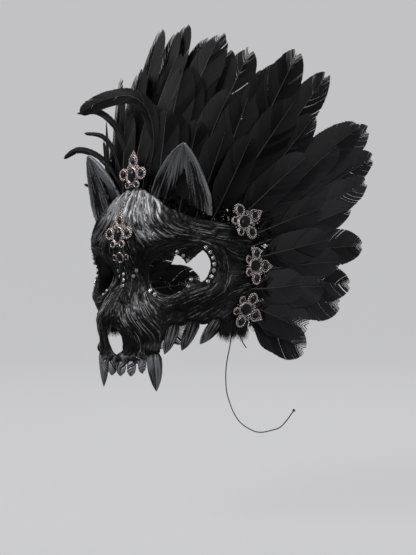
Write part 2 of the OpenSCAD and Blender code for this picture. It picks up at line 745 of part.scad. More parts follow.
feather_row(-1, 2);  // feathers_front_right
loose(curls);  // curl_feathers
loose(wisps);  // wisp_feathers
fur(1);  // fur_left
fur(-1);  // fur_right
tie_tab(1);  // tie_tab_left
tie_tab(-1);  // tie_tab_right
tie_cord_left();
tie_cord_right();
tie_knot();
tie_end_knot();
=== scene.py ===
import math

import bmesh
import bpy
import numpy as np
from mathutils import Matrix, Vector


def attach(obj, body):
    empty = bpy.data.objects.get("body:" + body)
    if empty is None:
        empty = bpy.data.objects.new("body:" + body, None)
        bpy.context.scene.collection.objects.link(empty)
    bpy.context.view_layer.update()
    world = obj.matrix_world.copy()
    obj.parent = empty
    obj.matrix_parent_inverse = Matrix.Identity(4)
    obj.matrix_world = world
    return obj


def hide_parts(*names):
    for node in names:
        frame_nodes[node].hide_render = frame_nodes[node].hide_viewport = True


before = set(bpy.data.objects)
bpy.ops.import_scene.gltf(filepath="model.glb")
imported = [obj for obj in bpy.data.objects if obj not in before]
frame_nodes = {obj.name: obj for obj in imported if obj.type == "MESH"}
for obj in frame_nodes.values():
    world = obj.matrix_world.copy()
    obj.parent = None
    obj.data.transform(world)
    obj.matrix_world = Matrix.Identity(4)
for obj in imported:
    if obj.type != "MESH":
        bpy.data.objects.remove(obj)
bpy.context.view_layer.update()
MM = 0.001

# ---------------------------------------------------------------------------
# Camera: a short telephoto at the wearer's eye height, three-quarter left.
# It has no depth of field and no shift.
# ---------------------------------------------------------------------------
camera_data = bpy.data.cameras.new("camera")
camera_data.lens = 66.06
camera_data.sensor_width = 36.0
camera_data.clip_end = 50.0
camera = bpy.data.objects.new("camera", camera_data)
camera.location = (0.7909, -0.7678, -0.0227)
camera.rotation_euler = (math.radians(90.87), 0.0, math.radians(42.0))
bpy.context.collection.objects.link(camera)
bpy.context.scene.camera = camera
bpy.context.scene.view_settings.view_transform = "Standard"

# ---------------------------------------------------------------------------
# Tie cords: a thin twisted blue-grey cord from a leather tab on each side of the
# feather band, knotted together behind the head. The left one has a long tail
# with an overhand knot at its end.
# ---------------------------------------------------------------------------
SIDE_ANGLE = 86.0
WRAP_Y = 75.0
SHELL_WALL = 3.0
CORD_D = 1.4


def ease(low, high, t):
    k = np.clip((t - low) / (high - low), 0, 1)
    return k * k * (3 - 2 * k)


def mound(t):
    return np.exp(-t * t)


def unit(v):
    return v / np.maximum(np.linalg.norm(v, axis=-1, keepdims=True), 1e-9)


def shell_r(a, z):
    """The face's radius in mm, a degrees round from the front, at height z."""
    a, z = np.broadcast_arrays(np.asarray(a, float), np.asarray(z, float))
    w = np.abs(a)
    r = 97 + 7 * np.sin(np.radians(1.5 * w)) ** 2 - 10 * ease(-20, -75, z)
    r = r - 14 * (np.maximum(0, z - 45) / 43) ** 2 * (1 + 0.5 * ease(12, 45, w))
    reach = (28.5 - 6.5 * ease(-54, -92, z)) * ease(-8, -54, z)
    r = r + reach * np.exp(-((w / (13 + 15 * ease(-10, -65, z))) ** 2.5))
    r = r + 7 * mound((z - 32) / 22) * np.exp(-((w / 60) ** 4))
    r = r - 7 * mound(np.hypot((w - 28) / 15, z / 20)) - 9 * mound((w - 12) / 6) * mound((z + 10) / 17)
    cheek_line = -38 + (w - 25) * 0.55
    return r + 4 * mound((z - cheek_line) / 10) * ease(20, 35, w) * (1 - ease(72, 84, w))


def on_shell(a, z, lift=0.0):
    r, t = shell_r(a, z) + lift, np.radians(a)
    return np.stack([r * np.sin(t), WRAP_Y - r * np.cos(t), z + 0 * r], -1)


def shell_axes(a, z):
    """Across towards +a, up along the surface, and outwards."""
    e = unit(on_shell(a + 0.5, z) - on_shell(a - 0.5, z))
    n = unit(np.cross(e, on_shell(a, z + 0.5) - on_shell(a, z - 0.5)))
    return e, np.cross(n, e), n


def smooth_line(points, steps):
    """A Catmull-Rom line through the points, with the end points doubled."""
    p = np.array(points, float)
    p = np.vstack([p[:1], p, p[-1:]])
    out = []
    for p0, p1, p2, p3 in zip(p, p[1:], p[2:], p[3:]):
        for s in np.arange(steps) / steps:
            out.append(0.5 * (2 * p1 + (p2 - p0) * s + (2 * p0 - 5 * p1 + 4 * p2 - p3) * s**2
                              + (3 * p1 - p0 - 3 * p2 + p3) * s**3))
    return np.array(out + [p[-1]])


def make_mesh(name, verts, faces, smooth=True):
    """A finished piece from points in mm, linked at the origin."""
    mesh = bpy.data.meshes.new(name)
    mesh.from_pydata([tuple(v) for v in np.asarray(verts) * MM], [], faces)
    mesh.validate()
    if smooth:
        mesh.shade_smooth()
    obj = bpy.data.objects.new(name, mesh)
    bpy.context.collection.objects.link(obj)
    return obj


def frames_along(line, up):
    """Tangent, side and up at each point of a line."""
    t = unit(np.gradient(line, axis=0))
    s = unit(np.cross(t, up))
    return t, s, np.cross(s, t)


def round_line(line, radii, sides, up=(0, 0, 1), lobes=0, pitch=1.0):
    """A closed tube round a line; lobes twist round it once every pitch mm."""
    t, s, u = frames_along(line, up)
    run = np.concatenate([[0], np.cumsum(np.linalg.norm(np.diff(line, axis=0), axis=1))])
    radii = np.broadcast_to(radii, len(line))
    k = np.arange(sides) * 2 * np.pi / sides
    verts = []
    for i, p in enumerate(line):
        twist = np.cos(lobes * (k - 2 * np.pi * run[i] / (pitch * max(lobes, 1))))
        r = radii[i] * (1 + (0.13 * twist if lobes else 0))
        verts += list(p + np.outer(r * np.cos(k), s[i]) + np.outer(r * np.sin(k), u[i]))
    faces = []
    for i in range(len(line) - 1):
        for j in range(sides):
            a, b = i * sides + j, i * sides + (j + 1) % sides
            faces.append((a, b, b + sides, a + sides))
    faces += [tuple(range(sides))[::-1], tuple(range((len(line) - 1) * sides, len(line) * sides))]
    return verts, faces


def set_node(nodes, kind, **values):
    """A shader node with its inputs set by name."""
    node = nodes.new(kind)
    for key, value in values.items():
        if hasattr(node, key) and key not in node.inputs:
            setattr(node, key, value)
        else:
            node.inputs[key].default_value = value
    return node


def new_material(name, rough, metal=0.0, **extra):
    """A material with its shader's constant values set on the shader."""
    mat = bpy.data.materials.new(name)
    mat.use_nodes = True
    nodes, links = mat.node_tree.nodes, mat.node_tree.links
    shader = nodes["Principled BSDF"]
    shader.inputs["Roughness"].default_value = rough
    shader.inputs["Metallic"].default_value = metal
    for key, value in extra.items():
        shader.inputs[key.replace("_", " ")].default_value = value
    return mat, nodes, links, shader


def tinted(nodes, links, shader, factor, low, high):
    """The shader's colour set between two, by a factor socket."""
    mix = nodes.new("ShaderNodeMix")
    mix.data_type = "RGBA"
    links.new(factor, mix.inputs["Factor"])
    mix.inputs["A"].default_value = (*low, 1)
    mix.inputs["B"].default_value = (*high, 1)
    links.new(mix.outputs["Result"], shader.inputs["Base Color"])


def noise(nodes, links, scale, detail=3.0, stretch=None):
    """Noise on the piece's own coordinates, in cells per metre."""
    where = nodes.new("ShaderNodeTexCoord").outputs["Object"]
    if stretch:
        mapping = set_node(nodes, "ShaderNodeMapping", Scale=stretch)
        links.new(where, mapping.inputs["Vector"])
        where = mapping.outputs["Vector"]
    tex = set_node(nodes, "ShaderNodeTexNoise", Scale=scale, Detail=detail)
    links.new(where, tex.inputs["Vector"])
    return tex.outputs["Fac"]


def bump(nodes, links, shader, height, distance, strength=1.0):
    node = set_node(nodes, "ShaderNodeBump", Distance=distance, Strength=strength)
    links.new(height, node.inputs["Height"])
    links.new(node.outputs["Normal"], shader.inputs["Normal"])


cord_mat, nodes, links, shader = new_material("twisted_cord", 0.62)
tinted(nodes, links, shader, noise(nodes, links, 900), (0.10, 0.13, 0.15), (0.30, 0.36, 0.39))
bump(nodes, links, shader, noise(nodes, links, 4000), 0.0001)

TAB_A, TAB_Z = SIDE_ANGLE - 3, -17.0       # where the tab lies: degrees round the face, height
TAB_LIFT = -SHELL_WALL - 3.5 - 4.5 - 1 - 1.6      # below the wall, the quills, the band and the tab itself
TAB_REACH = 7.5
tab_e, _, tab_n = shell_axes(TAB_A, TAB_Z)
tab_hole = on_shell(TAB_A, TAB_Z) + tab_n * (TAB_LIFT - CORD_D / 2 - 0.1) + tab_e * TAB_REACH
half_route = [tab_hole, (86, 84, -19), (83, 98, -24), (76, 116, -32), (65, 132, -40), (48, 145, -48),
              (28, 154, -55)]
left_route = half_route + [
    (4, 157.2, -60), (-1, 157, -63), (-5, 155.5, -85), (-9, 153, -112), (-8, 152, -136), (-4, 152, -150),
    (4, 152, -165), (15, 152, -176), (32, 152, -183), (46, 152, -184), (62, 152, -180), (73, 152, -176),
    (83, 152, -167), (93, 152, -155)]
right_route = [(-x, y, z) for x, y, z in half_route] + [
    (-4, 159.2, -60), (1, 159.4, -63), (5, 161, -72), (9, 162, -81), (14, 163, -88)]
cords = {}
for side, route in (("left", left_route), ("right", right_route)):
    line = smooth_line(route, 28)
    cord = make_mesh("tie_cord_" + side + "_twisted",
                     *round_line(line, CORD_D / 2 * 0.94, 9, (0.2, 1, 0.3), lobes=3, pitch=2.6))
    cord.data.materials.append(cord_mat)
    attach(cord, "root")
    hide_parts("tie_cord_" + side)
    cords[side] = (cord, line)
# The two knots are the cords' own turns, drawn tight. Their cord is coloured darker
# than the loose cord: painted shade between the tight turns.
knot_mat, nodes, links, shader = new_material("cord_knot", 0.7)
tinted(nodes, links, shader, noise(nodes, links, 1200), (0.05, 0.065, 0.075), (0.20, 0.24, 0.26))
knot_line = [(5.6 * (k / (6 * math.pi) - 0.5), 1.95 * math.cos(k), 1.95 * math.sin(k))
             for k in np.linspace(0, 6 * math.pi, 64)]
knot_line = np.array(knot_line) + np.array([0, 158.2, -60.5])
tie_knot = make_mesh("tie_knot_turns", *round_line(knot_line, 0.72, 8, (0.1, 0.2, 1)))
end_turns = [(1.05 * math.cos(k), 0.32 * (k / math.pi - 2), 1.05 * math.sin(k))
             for k in np.linspace(0, 4 * math.pi, 40)]
end_knot = make_mesh("tie_end_knot_turns", *round_line(np.array(end_turns) + np.array(left_route[-1]), 0.6,
                                                       8, (0, 1, 0.1)))
for knot, node in ((tie_knot, "tie_knot"), (end_knot, "tie_end_knot")):
    knot.data.materials.append(knot_mat)
    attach(knot, "root")
    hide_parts(node)
for side, pieces in (("left", [tie_knot, end_knot]), ("right", [tie_knot])):
    cord, line = cords[side]

# ---------------------------------------------------------------------------
# Stage: a plain pale floor that curves up into a plain wall all round, and three
# large soft lights, the brightest from the upper left.
# ---------------------------------------------------------------------------
FLOOR_Z = -262.0
profile = [(0.0, 0.0), (2500.0, 0.0)] + [(2500 + 1500 * math.sin(k), 1500 * (1 - math.cos(k)))
                                         for k in np.radians([15, 30, 45, 60, 75, 90])] + [(4000.0, 4200.0)]
TURNS = 64
verts = [(r * math.cos(2 * math.pi * j / TURNS), r * math.sin(2 * math.pi * j / TURNS), FLOOR_Z + h)
         for r, h in profile for j in range(TURNS)]
faces = [(i * TURNS + j, i * TURNS + (j + 1) % TURNS, (i + 1) * TURNS + (j + 1) % TURNS,
          (i + 1) * TURNS + j)
         for i in range(len(profile) - 1) for j in range(TURNS)]
backdrop = make_mesh("backdrop", verts, faces)
floor_mat, nodes, links, shader = new_material("pale_floor", 0.85)
shader.inputs["Base Color"].default_value = (0.15, 0.15, 0.152, 1)
shader.inputs["Emission Color"].default_value = (0.93, 0.93, 0.945, 1)
shader.inputs["Emission Strength"].default_value = 0.54
backdrop.data.materials.append(floor_mat)
backdrop.visible_glossy = backdrop.visible_diffuse = False
world = bpy.data.worlds.new("soft_room")
bpy.context.scene.world = world
world.use_nodes = True
world.node_tree.nodes["Background"].inputs["Color"].default_value = (0.93, 0.95, 1.0, 1)
world.node_tree.nodes["Background"].inputs["Strength"].default_value = 0.14
for name, place, size, power in (
        ("key_light", (-0.9, -1.5, 1.5), 1.3, 27.0),
        ("side_light", (1.9, -0.3, 0.9), 1.4, 11.0),
        ("back_light", (-0.5, 1.5, 1.4), 1.2, 8.0)):
    light = bpy.data.lights.new(name, "AREA")
    light.energy, light.size = power, size
    lamp = bpy.data.objects.new(name, light)
    lamp.location = place
    lamp.rotation_euler = Vector((-place[0], 0.05 - place[1], 0.05 - place[2])).to_track_quat("-Z",
            "Y").to_euler()
    bpy.context.collection.objects.link(lamp)

# ---------------------------------------------------------------------------
# Face shell: an animal skull face of moulded resin, modelled by hand with hair-like
# ridges, painted black, then dry-brushed with silver so that the ridges catch it.
# The silver is held back, as painted shade, beside the snout's ridge and partly round the nose opening.
# ---------------------------------------------------------------------------
RIDGE = 1.15          # height of the coarse ridges, mm
FINE_RIDGE = 0.5      # height of the fine hair lines between them
CELL = 0.5            # cell of the worked-out ridge field
ARC = 1.69            # mm of surface for each degree round the face
EYE = (32.0, -3.0)    # centre of the eye opening: degrees, mm
TEMPLE = (46.5, 5.5)
NOSE = (0.0, -73.0)


def eye_distance(w, z):
    """Distance in mm outside the eye opening's middle line, and the way from it."""
    p = np.stack([(w - EYE[0]) * ARC, z - EYE[1]], -1)
    d = np.array([(TEMPLE[0] - EYE[0]) * ARC, TEMPLE[1] - EYE[1]])
    t = np.clip(p @ d / (d @ d), 0, 1)
    off = p - t[..., None] * d
    return np.linalg.norm(off, axis=-1), off


def hair_direction(w, z):
    """The way the modelled hair runs at w degrees from the middle, height z: (across, up)."""
    u = w * ARC
    dist, off = eye_distance(w, z)
    ways = []

    def add(weight, x, y):
        length = np.maximum(np.hypot(x, y), 1e-6)
        ways.append((weight, x / length, y / length))

    add(1.5 * mound((dist - 24) / 11) * ease(-30, -8, z + 0.35 * u), -off[..., 1], off[..., 0])
    add(0.9 * mound((dist - 22) / 8), -off[..., 1], off[..., 0])
    add(1.6 * ease(44, 62, z), 0.5 * u + 2, -(108 - z))
    add(1.7 * mound((z - 42) / 14) * ease(6, 22, w), 0.9 + 0 * u, -0.75 + 0.75 * ease(18, 60, w))
    add(1.1 * ease(60, 82, w) * ease(-45, -10, z), 1 + 0 * u, 0.35 - 0.5 * mound((z - 20) / 30))
    add(1.6 * ease(2, -18, z) * ease(-72, -56, z) * ease(30, 20, w), 0.55 * u, -(z * 0.2 + 34))
    add(1.2 * ease(-18, -34, z) * ease(24, 34, w), 1 + 0 * u, 0.55 + 0 * u)
    add(1.3 * mound(np.hypot((w - NOSE[0]) * ARC, z - NOSE[1]) / 30), -(z - NOSE[1]), u)
    add(1.5 * ease(-84, -94, z), 0.1 * u, -1 + 0 * u)
    add(0.25 + 0 * u, 0.3 + 0 * u, -1 + 0 * u)
    xx = sum(k * (x * x - y * y) for k, x, y in ways)
    xy = sum(k * 2 * x * y for k, x, y in ways)
    turn = 0.5 * np.arctan2(xy, xx)
    return np.cos(turn), np.sin(turn)


rng = np.random.default_rng(7)
field_w = np.arange(-90, 90.01, CELL / ARC)
field_z = np.arange(-106, 96, CELL)
grid_w, grid_z = np.meshgrid(field_w, field_z)
way_x, way_y = hair_direction(np.abs(grid_w), grid_z)
way_x = np.where(grid_w < 0, -way_x, way_x)


def blurred(image, cells):
    """An even blur, a few cells wide."""
    for axis in (0, 1):
        for _ in range(2):
            total = sum(np.roll(image, k, axis) for k in range(-cells, cells + 1))
            image = total / (2 * cells + 1)
    return image


def hair_lines(grain, reach, wander):
    """Grains of noise drawn out along the hair direction: ridges that part and join."""
    seed = blurred(rng.standard_normal(grid_w.shape), grain)
    turn = wander * blurred(rng.standard_normal(grid_w.shape), 9) * 12
    dx, dy = way_x * np.cos(turn) - way_y * np.sin(turn), way_x * np.sin(turn) + way_y * np.cos(turn)
    rows, cols = np.indices(grid_w.shape).astype(float)
    total = np.zeros(grid_w.shape)
    for sense in (1, -1):
        r, c = rows.copy(), cols.copy()
        hx, hy = dx * sense, dy * sense
        for _ in range(reach):
            ri = np.clip(np.rint(r).astype(int), 0, len(field_z) - 1)
            ci = np.clip(np.rint(c).astype(int), 0, len(field_w) - 1)
            nx, ny = dx[ri, ci], dy[ri, ci]
            flip = np.where(nx * hx + ny * hy < 0, -1, 1)
            hx, hy = nx * flip, ny * flip
            total += seed[ri, ci]
            r, c = r + hy, c + hx
    total -= blurred(total, 14)
    return np.clip(total / total.std(), -2.2, 2.2) / 2.2


coarse = hair_lines(2, 26, 1.0)
fine = hair_lines(1, 16, 0.6)
sharp = 1 - np.abs(coarse) ** 0.7
field_height = RIDGE * (0.7 * coarse + 0.55 * (sharp - sharp.mean())) + FINE_RIDGE * fine


def look_up(field, w, z):
    """A worked-out field read between its cells."""
    x = np.clip((w - field_w[0]) / (field_w[1] - field_w[0]), 0, len(field_w) - 1.001)
    y = np.clip((z - field_z[0]) / CELL, 0, len(field_z) - 1.001)
    i, j = y.astype(int), x.astype(int)
    fy, fx = y - i, x - j
    return ((field[i, j] * (1 - fx) + field[i, j + 1] * fx) * (1 - fy)
            + (field[i + 1, j] * (1 - fx) + field[i + 1, j + 1] * fx) * fy)


def face_place(points):
    """Degrees round the face, height and depth outside the shell's rule, for points in mm."""
    a = np.degrees(np.arctan2(points[:, 0], WRAP_Y - points[:, 1]))
    return a, points[:, 2], np.hypot(points[:, 0], WRAP_Y - points[:, 1]) - shell_r(a, points[:, 2])


def silver_and_shade(w, z):
    """How much silver is drawn there, from 0 to 1: brushed silver, less some painted shade."""
    dist, off = eye_distance(w, z)
    above = ease(-4, 10, off[..., 1])
    silver = 0.08 + 0.36 * ease(44, 60, z) * ease(34, 20, w)
    silver = silver + 0.30 * mound((z - 41 + 0.12 * w) / 8) * ease(4, 16, w) * ease(70, 44, w)
    silver = silver + 0.30 * mound((w - 13) / 9) * mound((z + 42) / 17)
    silver = silver - 0.26 * mound((dist - 26) / 9) * above * ease(60, 40, w)
    # Painted shade: less silver in the groove along each side of the snout's ridge.
    silver = silver - 0.30 * mound((w - 3.5) / 2.6) * mound((z + 38) / 22)
    silver = silver + 0.05 * mound((dist - 25) / 5) * (1 - above)
    # Less silver round the nose opening: partly the black paint, partly painted shade.
    silver = silver - 0.20 * mound(np.hypot(w * ARC, z - NOSE[1]) / 20)
    silver = silver - 0.12 * ease(30, 44, w) * ease(-22, -36, z)
    silver = silver + 0.20 * ease(-84, -90, z) * ease(34, 24, w)
    return np.clip(silver, 0.02, 1)


def copy_of(node, name):
    """A merged copy of a node's mesh, at the origin."""
    mesh = frame_nodes[node].data.copy()
    mesh.name = name
    mesh.materials.clear()
    obj = bpy.data.objects.new(name, mesh)
    bpy.context.collection.objects.link(obj)
    work = bmesh.new()
    work.from_mesh(mesh)
    bmesh.ops.remove_doubles(work, verts=work.verts, dist=2e-6)
    work.to_mesh(mesh)
    work.free()
    return obj


def baked(obj):
    """The object with its modifiers worked into its mesh."""
    graph = bpy.context.evaluated_depsgraph_get()
    graph.update()
    mesh = bpy.data.meshes.new_from_object(obj.evaluated_get(graph), preserve_all_data_layers=True,
                                           depsgraph=graph)
    old = obj.data
    obj.modifiers.clear()
    obj.data = mesh
    bpy.data.meshes.remove(old)
    return obj


def remeshed(obj, voxel):
    """An even skin over the same shape, ready to be modelled on."""
    mod = obj.modifiers.new("skin", "REMESH")
    mod.mode, mod.voxel_size, mod.use_smooth_shade = "VOXEL", voxel * MM, True
    return baked(obj)


def mesh_points(mesh):
    co = np.empty(len(mesh.vertices) * 3)
    mesh.vertices.foreach_get("co", co)
    no = np.empty(len(mesh.vertices) * 3)
    mesh.vertices.foreach_get("normal", no)
    return co.reshape(-1, 3) / MM, no.reshape(-1, 3)


def set_points(mesh, points):
    mesh.vertices.foreach_set("co", (points * MM).ravel())
    mesh.update()


def add_values(mesh, name, values, kind="FLOAT"):
    """A number or a vector at each point of a mesh."""
    layer = mesh.attributes.new(name, kind, "POINT")
    layer.data.foreach_set("value" if kind == "FLOAT" else "vector", np.asarray(values, np.float32).ravel())


def worked_out(nodes, links, operation, *terms, clamp=False):
    """A maths node's result; each term is a socket or a number."""
    node = nodes.new("ShaderNodeMath")
    node.operation, node.use_clamp = operation, clamp
    for slot, term in zip(node.inputs, terms):
        if isinstance(term, float):
            slot.default_value = term
        else:
            links.new(term, slot)
    return node.outputs[0]


def rubbed(region, height, spread=0.24):
    """Silver on the ridges: the higher the region's value, the deeper it reaches."""
    return ease(1.05 - 1.5 * region - spread, 1.05 - 1.5 * region + spread, height)


# Satin black under silver; the silver thins out with a fine broken edge.
paint_mat, nodes, links, shader = new_material("black_and_silver_paint", 0.42, Specular_IOR_Level=0.35)
# The "silver" value also carries the face's painted shade, as less silver.
silver_and_shade_value = set_node(nodes, "ShaderNodeAttribute", attribute_name="silver").outputs["Fac"]
grit = worked_out(nodes, links, "MULTIPLY_ADD", noise(nodes, links, 1900, 4), 0.9, -0.45)
broken = worked_out(nodes, links, "MULTIPLY", grit, silver_and_shade_value)
joined = worked_out(nodes, links, "ADD", silver_and_shade_value, broken, clamp=True)
tinted(nodes, links, shader, joined, (0.006, 0.006, 0.0065), (0.44, 0.44, 0.45))
for socket, low, high in (("Metallic", 0.0, 0.55), ("Roughness", 0.42, 0.40)):
    span = set_node(nodes, "ShaderNodeMapRange")
    links.new(joined, span.inputs["Value"])
    span.inputs["To Min"].default_value = low
    span.inputs["To Max"].default_value = high
    links.new(span.outputs["Result"], shader.inputs[socket])
bump(nodes, links, shader, noise(nodes, links, 2600, 5), 0.00012, 0.7)

# Each tooth's place: degrees round, height above the jaw's edge, width, depth of its gum.
TEETH = [(3.4, 4, 13.0, 4.0), (10.4, 4, 11.5, 4.0), (16.6, 6, 10.0, 4.0), (23.2, 4, 19.0, 6.0),
         (36.5, 2, 16.0, 4.0), (49.0, 5, 17.0, 4.0), (65.0, 5, 18.0, 4.0)]


def low_edge(a):
    return -55 - 42 * np.exp(-((np.abs(a) / 29) ** 6))


def gum(w, z):
    """How far the gum swells out over the teeth's roots, in mm."""
    swell = 0 * w
    for middle, rise, wide, deep in TEETH:
        across = (w - middle) * math.radians(float(shell_r(middle, low_edge(middle)))) / (wide * 0.52)
        swell = np.maximum(swell, deep * 0.72 * mound(across**2)
                           * mound((z - low_edge(middle) - rise - 1.2) / 5.0))
    return swell


face = remeshed(copy_of("face_shell", "face_modelled"), 0.82)
points, normals = mesh_points(face.data)
a, z, out = face_place(points)
outer = ease(-2.6, -0.6, out)
height = look_up(field_height, a, z)
rim = ease(0.35, 0.8, np.abs(normals @ np.array([0, 0, 1.0]))) * ease(-80, -95, z)
swell = gum(np.abs(a), z) * ease(-2.9, -0.3, out)
set_points(face.data, points + normals * ((height * outer + swell) * (1 - 0.5 * rim) + 0.05)[:, None])
ridge = look_up(0.62 * coarse + 0.38 * fine, a, z) * 0.5 + 0.5
face.data.shade_smooth()
# The silver value includes painted shade beside the snout and round the nose opening.
add_values(face.data, "silver", rubbed(silver_and_shade(np.abs(a), z), ridge) * outer)
face.data.materials.append(paint_mat)
for side, sense in (("left", 1), ("right", -1)):
    half = bpy.data.objects.new("face_" + side + "_half", face.data.copy())
    work = bmesh.new()
    work.from_mesh(half.data)
    parts = work.verts[:] + work.edges[:] + work.faces[:]
    bmesh.ops.bisect_plane(work, geom=parts, dist=1e-7, plane_co=(0, 0, 0), plane_no=(-sense, 0, 0),
                           clear_outer=True)
    filled = bmesh.ops.holes_fill(work, edges=[e for e in work.edges if e.is_boundary], sides=0)
    for flat in filled["faces"]:
        flat.smooth = False
        for e in flat.edges:
            e.smooth = False
    work.to_mesh(half.data)
    work.free()
    bpy.context.collection.objects.link(half)
    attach(half, "root")
    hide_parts("face_shell")
bpy.data.objects.remove(face)

# ---------------------------------------------------------------------------
# Hair strands: raised cords of modelling paste laid over the ridges of the face,
# along the same hair lines, and painted and brushed with them.
# Where the face's silver is held back as painted shade, the strands' silver is too.
# ---------------------------------------------------------------------------
def node_tree(name, inputs):
    """An empty geometry group with named inputs, and a function that adds one wired node to it."""
    tree = bpy.data.node_groups.new(name, "GeometryNodeTree")
    for label, kind in inputs:
        tree.interface.new_socket(label, in_out="INPUT", socket_type="NodeSocket" + kind)
    tree.interface.new_socket("Geometry", in_out="OUTPUT", socket_type="NodeSocketGeometry")
    given = tree.nodes.new("NodeGroupInput").outputs

    def add(kind, wires, **values):
        node = set_node(tree.nodes, kind, **values)
        for key, socket in wires.items():
            tree.links.new(socket, node.inputs[key])
        return node

    return tree, given, add


def run_tree(obj, tree, **inputs):
    """The object with the tree's result as its own plain mesh."""
    mod = obj.modifiers.new("nodes", "NODES")
    mod.node_group = tree
    for item in tree.interface.items_tree:
        if item.in_out == "INPUT" and item.name in inputs:
            mod[item.identifier] = inputs[item.name]
    baked(obj)
    if not obj.data.materials:
        obj.data.materials.append(inputs["Finish"])
    return obj


def line_tree(name, flat):
    """Strips or round strands swept along the lines of a mesh, as wide as its points say."""
    tree, given, add = node_tree(name, (("Geometry", "Geometry"), ("Width", "Float"), ("Uneven", "Float"),
                                        ("Seed", "Int"), ("Finish", "Material")))
    value = "GeometryNodeInputNamedAttribute"
    line = add("GeometryNodeMeshToCurve", {"Mesh": given["Geometry"]}).outputs["Curve"]
    if flat:
        facing = add(value, {}, data_type="FLOAT_VECTOR", Name="facing").outputs["Attribute"]
        line = add("GeometryNodeSetCurveNormal", {"Curve": line, "Normal": facing},
                   mode="FREE").outputs["Curve"]
        profile = add("GeometryNodeCurvePrimitiveLine", {}, Start=(0, -MM, 0), End=(0, MM, 0))
    else:
        profile = add("GeometryNodeCurvePrimitiveCircle", {}, Resolution=4, Radius=MM)
    wide = add(value, {}, data_type="FLOAT", Name="wide").outputs["Attribute"]
    index = add("GeometryNodeInputIndex", {}).outputs[0]
    uneven = add("FunctionNodeRandomValue", {"Seed": given["Seed"], "ID": index}, data_type="FLOAT")
    least = worked_out(tree.nodes, tree.links, "SUBTRACT", 1.0, given["Uneven"])
    low, high = [s for s in uneven.inputs if s.type == "VALUE"][:2]
    tree.links.new(least, low)
    high.default_value = 1.0
    share = [s for s in uneven.outputs if s.type == "VALUE"][0]
    sized = worked_out(tree.nodes, tree.links, "MULTIPLY", wide, share)
    scaled = worked_out(tree.nodes, tree.links, "MULTIPLY", sized, given["Width"])
    sweep = add("GeometryNodeCurveToMesh", {"Curve": line, "Profile Curve": profile.outputs["Curve"],
                                            "Scale": scaled})
    sweep.inputs["Fill Caps"].default_value = not flat
    whole = add("GeometryNodeRealizeInstances", {"Geometry": sweep.outputs["Mesh"]})
    smooth = add("GeometryNodeSetShadeSmooth", {"Geometry": whole.outputs["Geometry"]})
    finish = add("GeometryNodeSetMaterial", {"Geometry": smooth.outputs["Geometry"],
                                             "Material": given["Finish"]})
    add("NodeGroupOutput", {"Geometry": finish.outputs["Geometry"]})
    return tree


def swept(name, lines, wide, values, tree, material, uneven=0.15, facing=None):
    """One piece of strands or strips: lines is (lines, points, 3) in mm."""
    count, long = lines.shape[:2]
    mesh = bpy.data.meshes.new(name)
    start = (np.arange(count) * long)[:, None] + np.arange(long - 1)
    edges = np.stack([start, start + 1], -1).reshape(-1, 2)
    mesh.from_pydata((lines.reshape(-1, 3) * MM).tolist(), edges.tolist(), [])
    for key, value in {"wide": wide, **values}.items():
        add_values(mesh, key, np.broadcast_to(value, (count, long)))
    if facing is not None:
        add_values(mesh, "facing", facing, "FLOAT_VECTOR")
    obj = bpy.data.objects.new(name, mesh)
    bpy.context.collection.objects.link(obj)
    return run_tree(obj, tree, Width=1.0, Uneven=uneven, Seed=3, Finish=material)


def open_face(w, z):
    """Where the face has no wall: its eye and nose openings and beyond its edges."""
    s = (w - 40) * ARC
    eye = np.hypot(s + 14, z + 3) < 23.5
    fan = (z < 9.5 + (s - 7) * 0.85 + 2) & (z > -5.5 - (s - 8.5) * 0.5 - 2)
    temple = (np.hypot(s - 9.5, z - 5.5) < 22) & (s > 0) & fan
    nose = np.hypot(w * 1.2, z - NOSE[1]) < 15
    top = 50 + 40 * np.cos(np.radians(w)) ** 5.2
    low = -55 - 42 * np.exp(-((w / 29) ** 6))
    return eye | temple | nose | (z > top - 2) | (z < low + 3) | (w > 85)


STRANDS = 2150
STRAND_STEPS = 11
start_w = rng.uniform(-85, 85, STRANDS * 2)
start_z = rng.uniform(-95, 88, STRANDS * 2)
keep = ~open_face(np.abs(start_w), start_z)
start_w, start_z = start_w[keep][:STRANDS], start_z[keep][:STRANDS]
step = rng.uniform(0.9, 2.6, len(start_w))
route_w, route_z = [start_w], [start_z]
for _ in range(STRAND_STEPS - 1):
    w, z = route_w[-1], route_z[-1]
    x, y = look_up(way_x, w, z), look_up(way_y, w, z)
    length = np.maximum(np.hypot(x, y), 0.3)
    if len(route_w) > 1:
        back = np.where(x * (w - route_w[-2]) * ARC + y * (z - route_z[-2]) < 0, -1, 1)
        x, y = x * back, y * back
    new_w, new_z = w + x / length * step / ARC, z + y / length * step
    stop = open_face(np.abs(new_w), new_z)
    route_w.append(np.where(stop, w, new_w))
    route_z.append(np.where(stop, z, new_z))
route_w, route_z = np.array(route_w).T, np.array(route_z).T
moved = (np.hypot(route_w[:, -1] - route_w[:, 0], route_z[:, -1] - route_z[:, 0]) > 4)
route_w, route_z = route_w[moved], route_z[moved]
along = np.linspace(0, 1, STRAND_STEPS)
fullness = 0.25 + 0.75 * np.sin(np.pi * np.clip(along, 0.04, 0.96)) ** 0.6
thick = rng.uniform(0.28, 0.62, len(route_w))[:, None] * fullness
lift = look_up(field_height, route_w, route_z) * 0.7 + 0.2 + gum(np.abs(route_w), route_z)
lines = on_shell(route_w, route_z, lift)
caught = rng.uniform(0.05, 1.0, (len(route_w), 1)) + rng.uniform(-0.12, 0.12, route_w.shape)
# The strands' silver includes the same painted shade as the face.
strand_silver_and_shade = rubbed(silver_and_shade(np.abs(route_w), route_z), caught, 0.16)
round_tree = line_tree("round_strands", False)
strands = swept("face_strands", lines, thick, {"silver": strand_silver_and_shade}, round_tree, paint_mat)
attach(strands, "root")
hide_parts("face_shell")

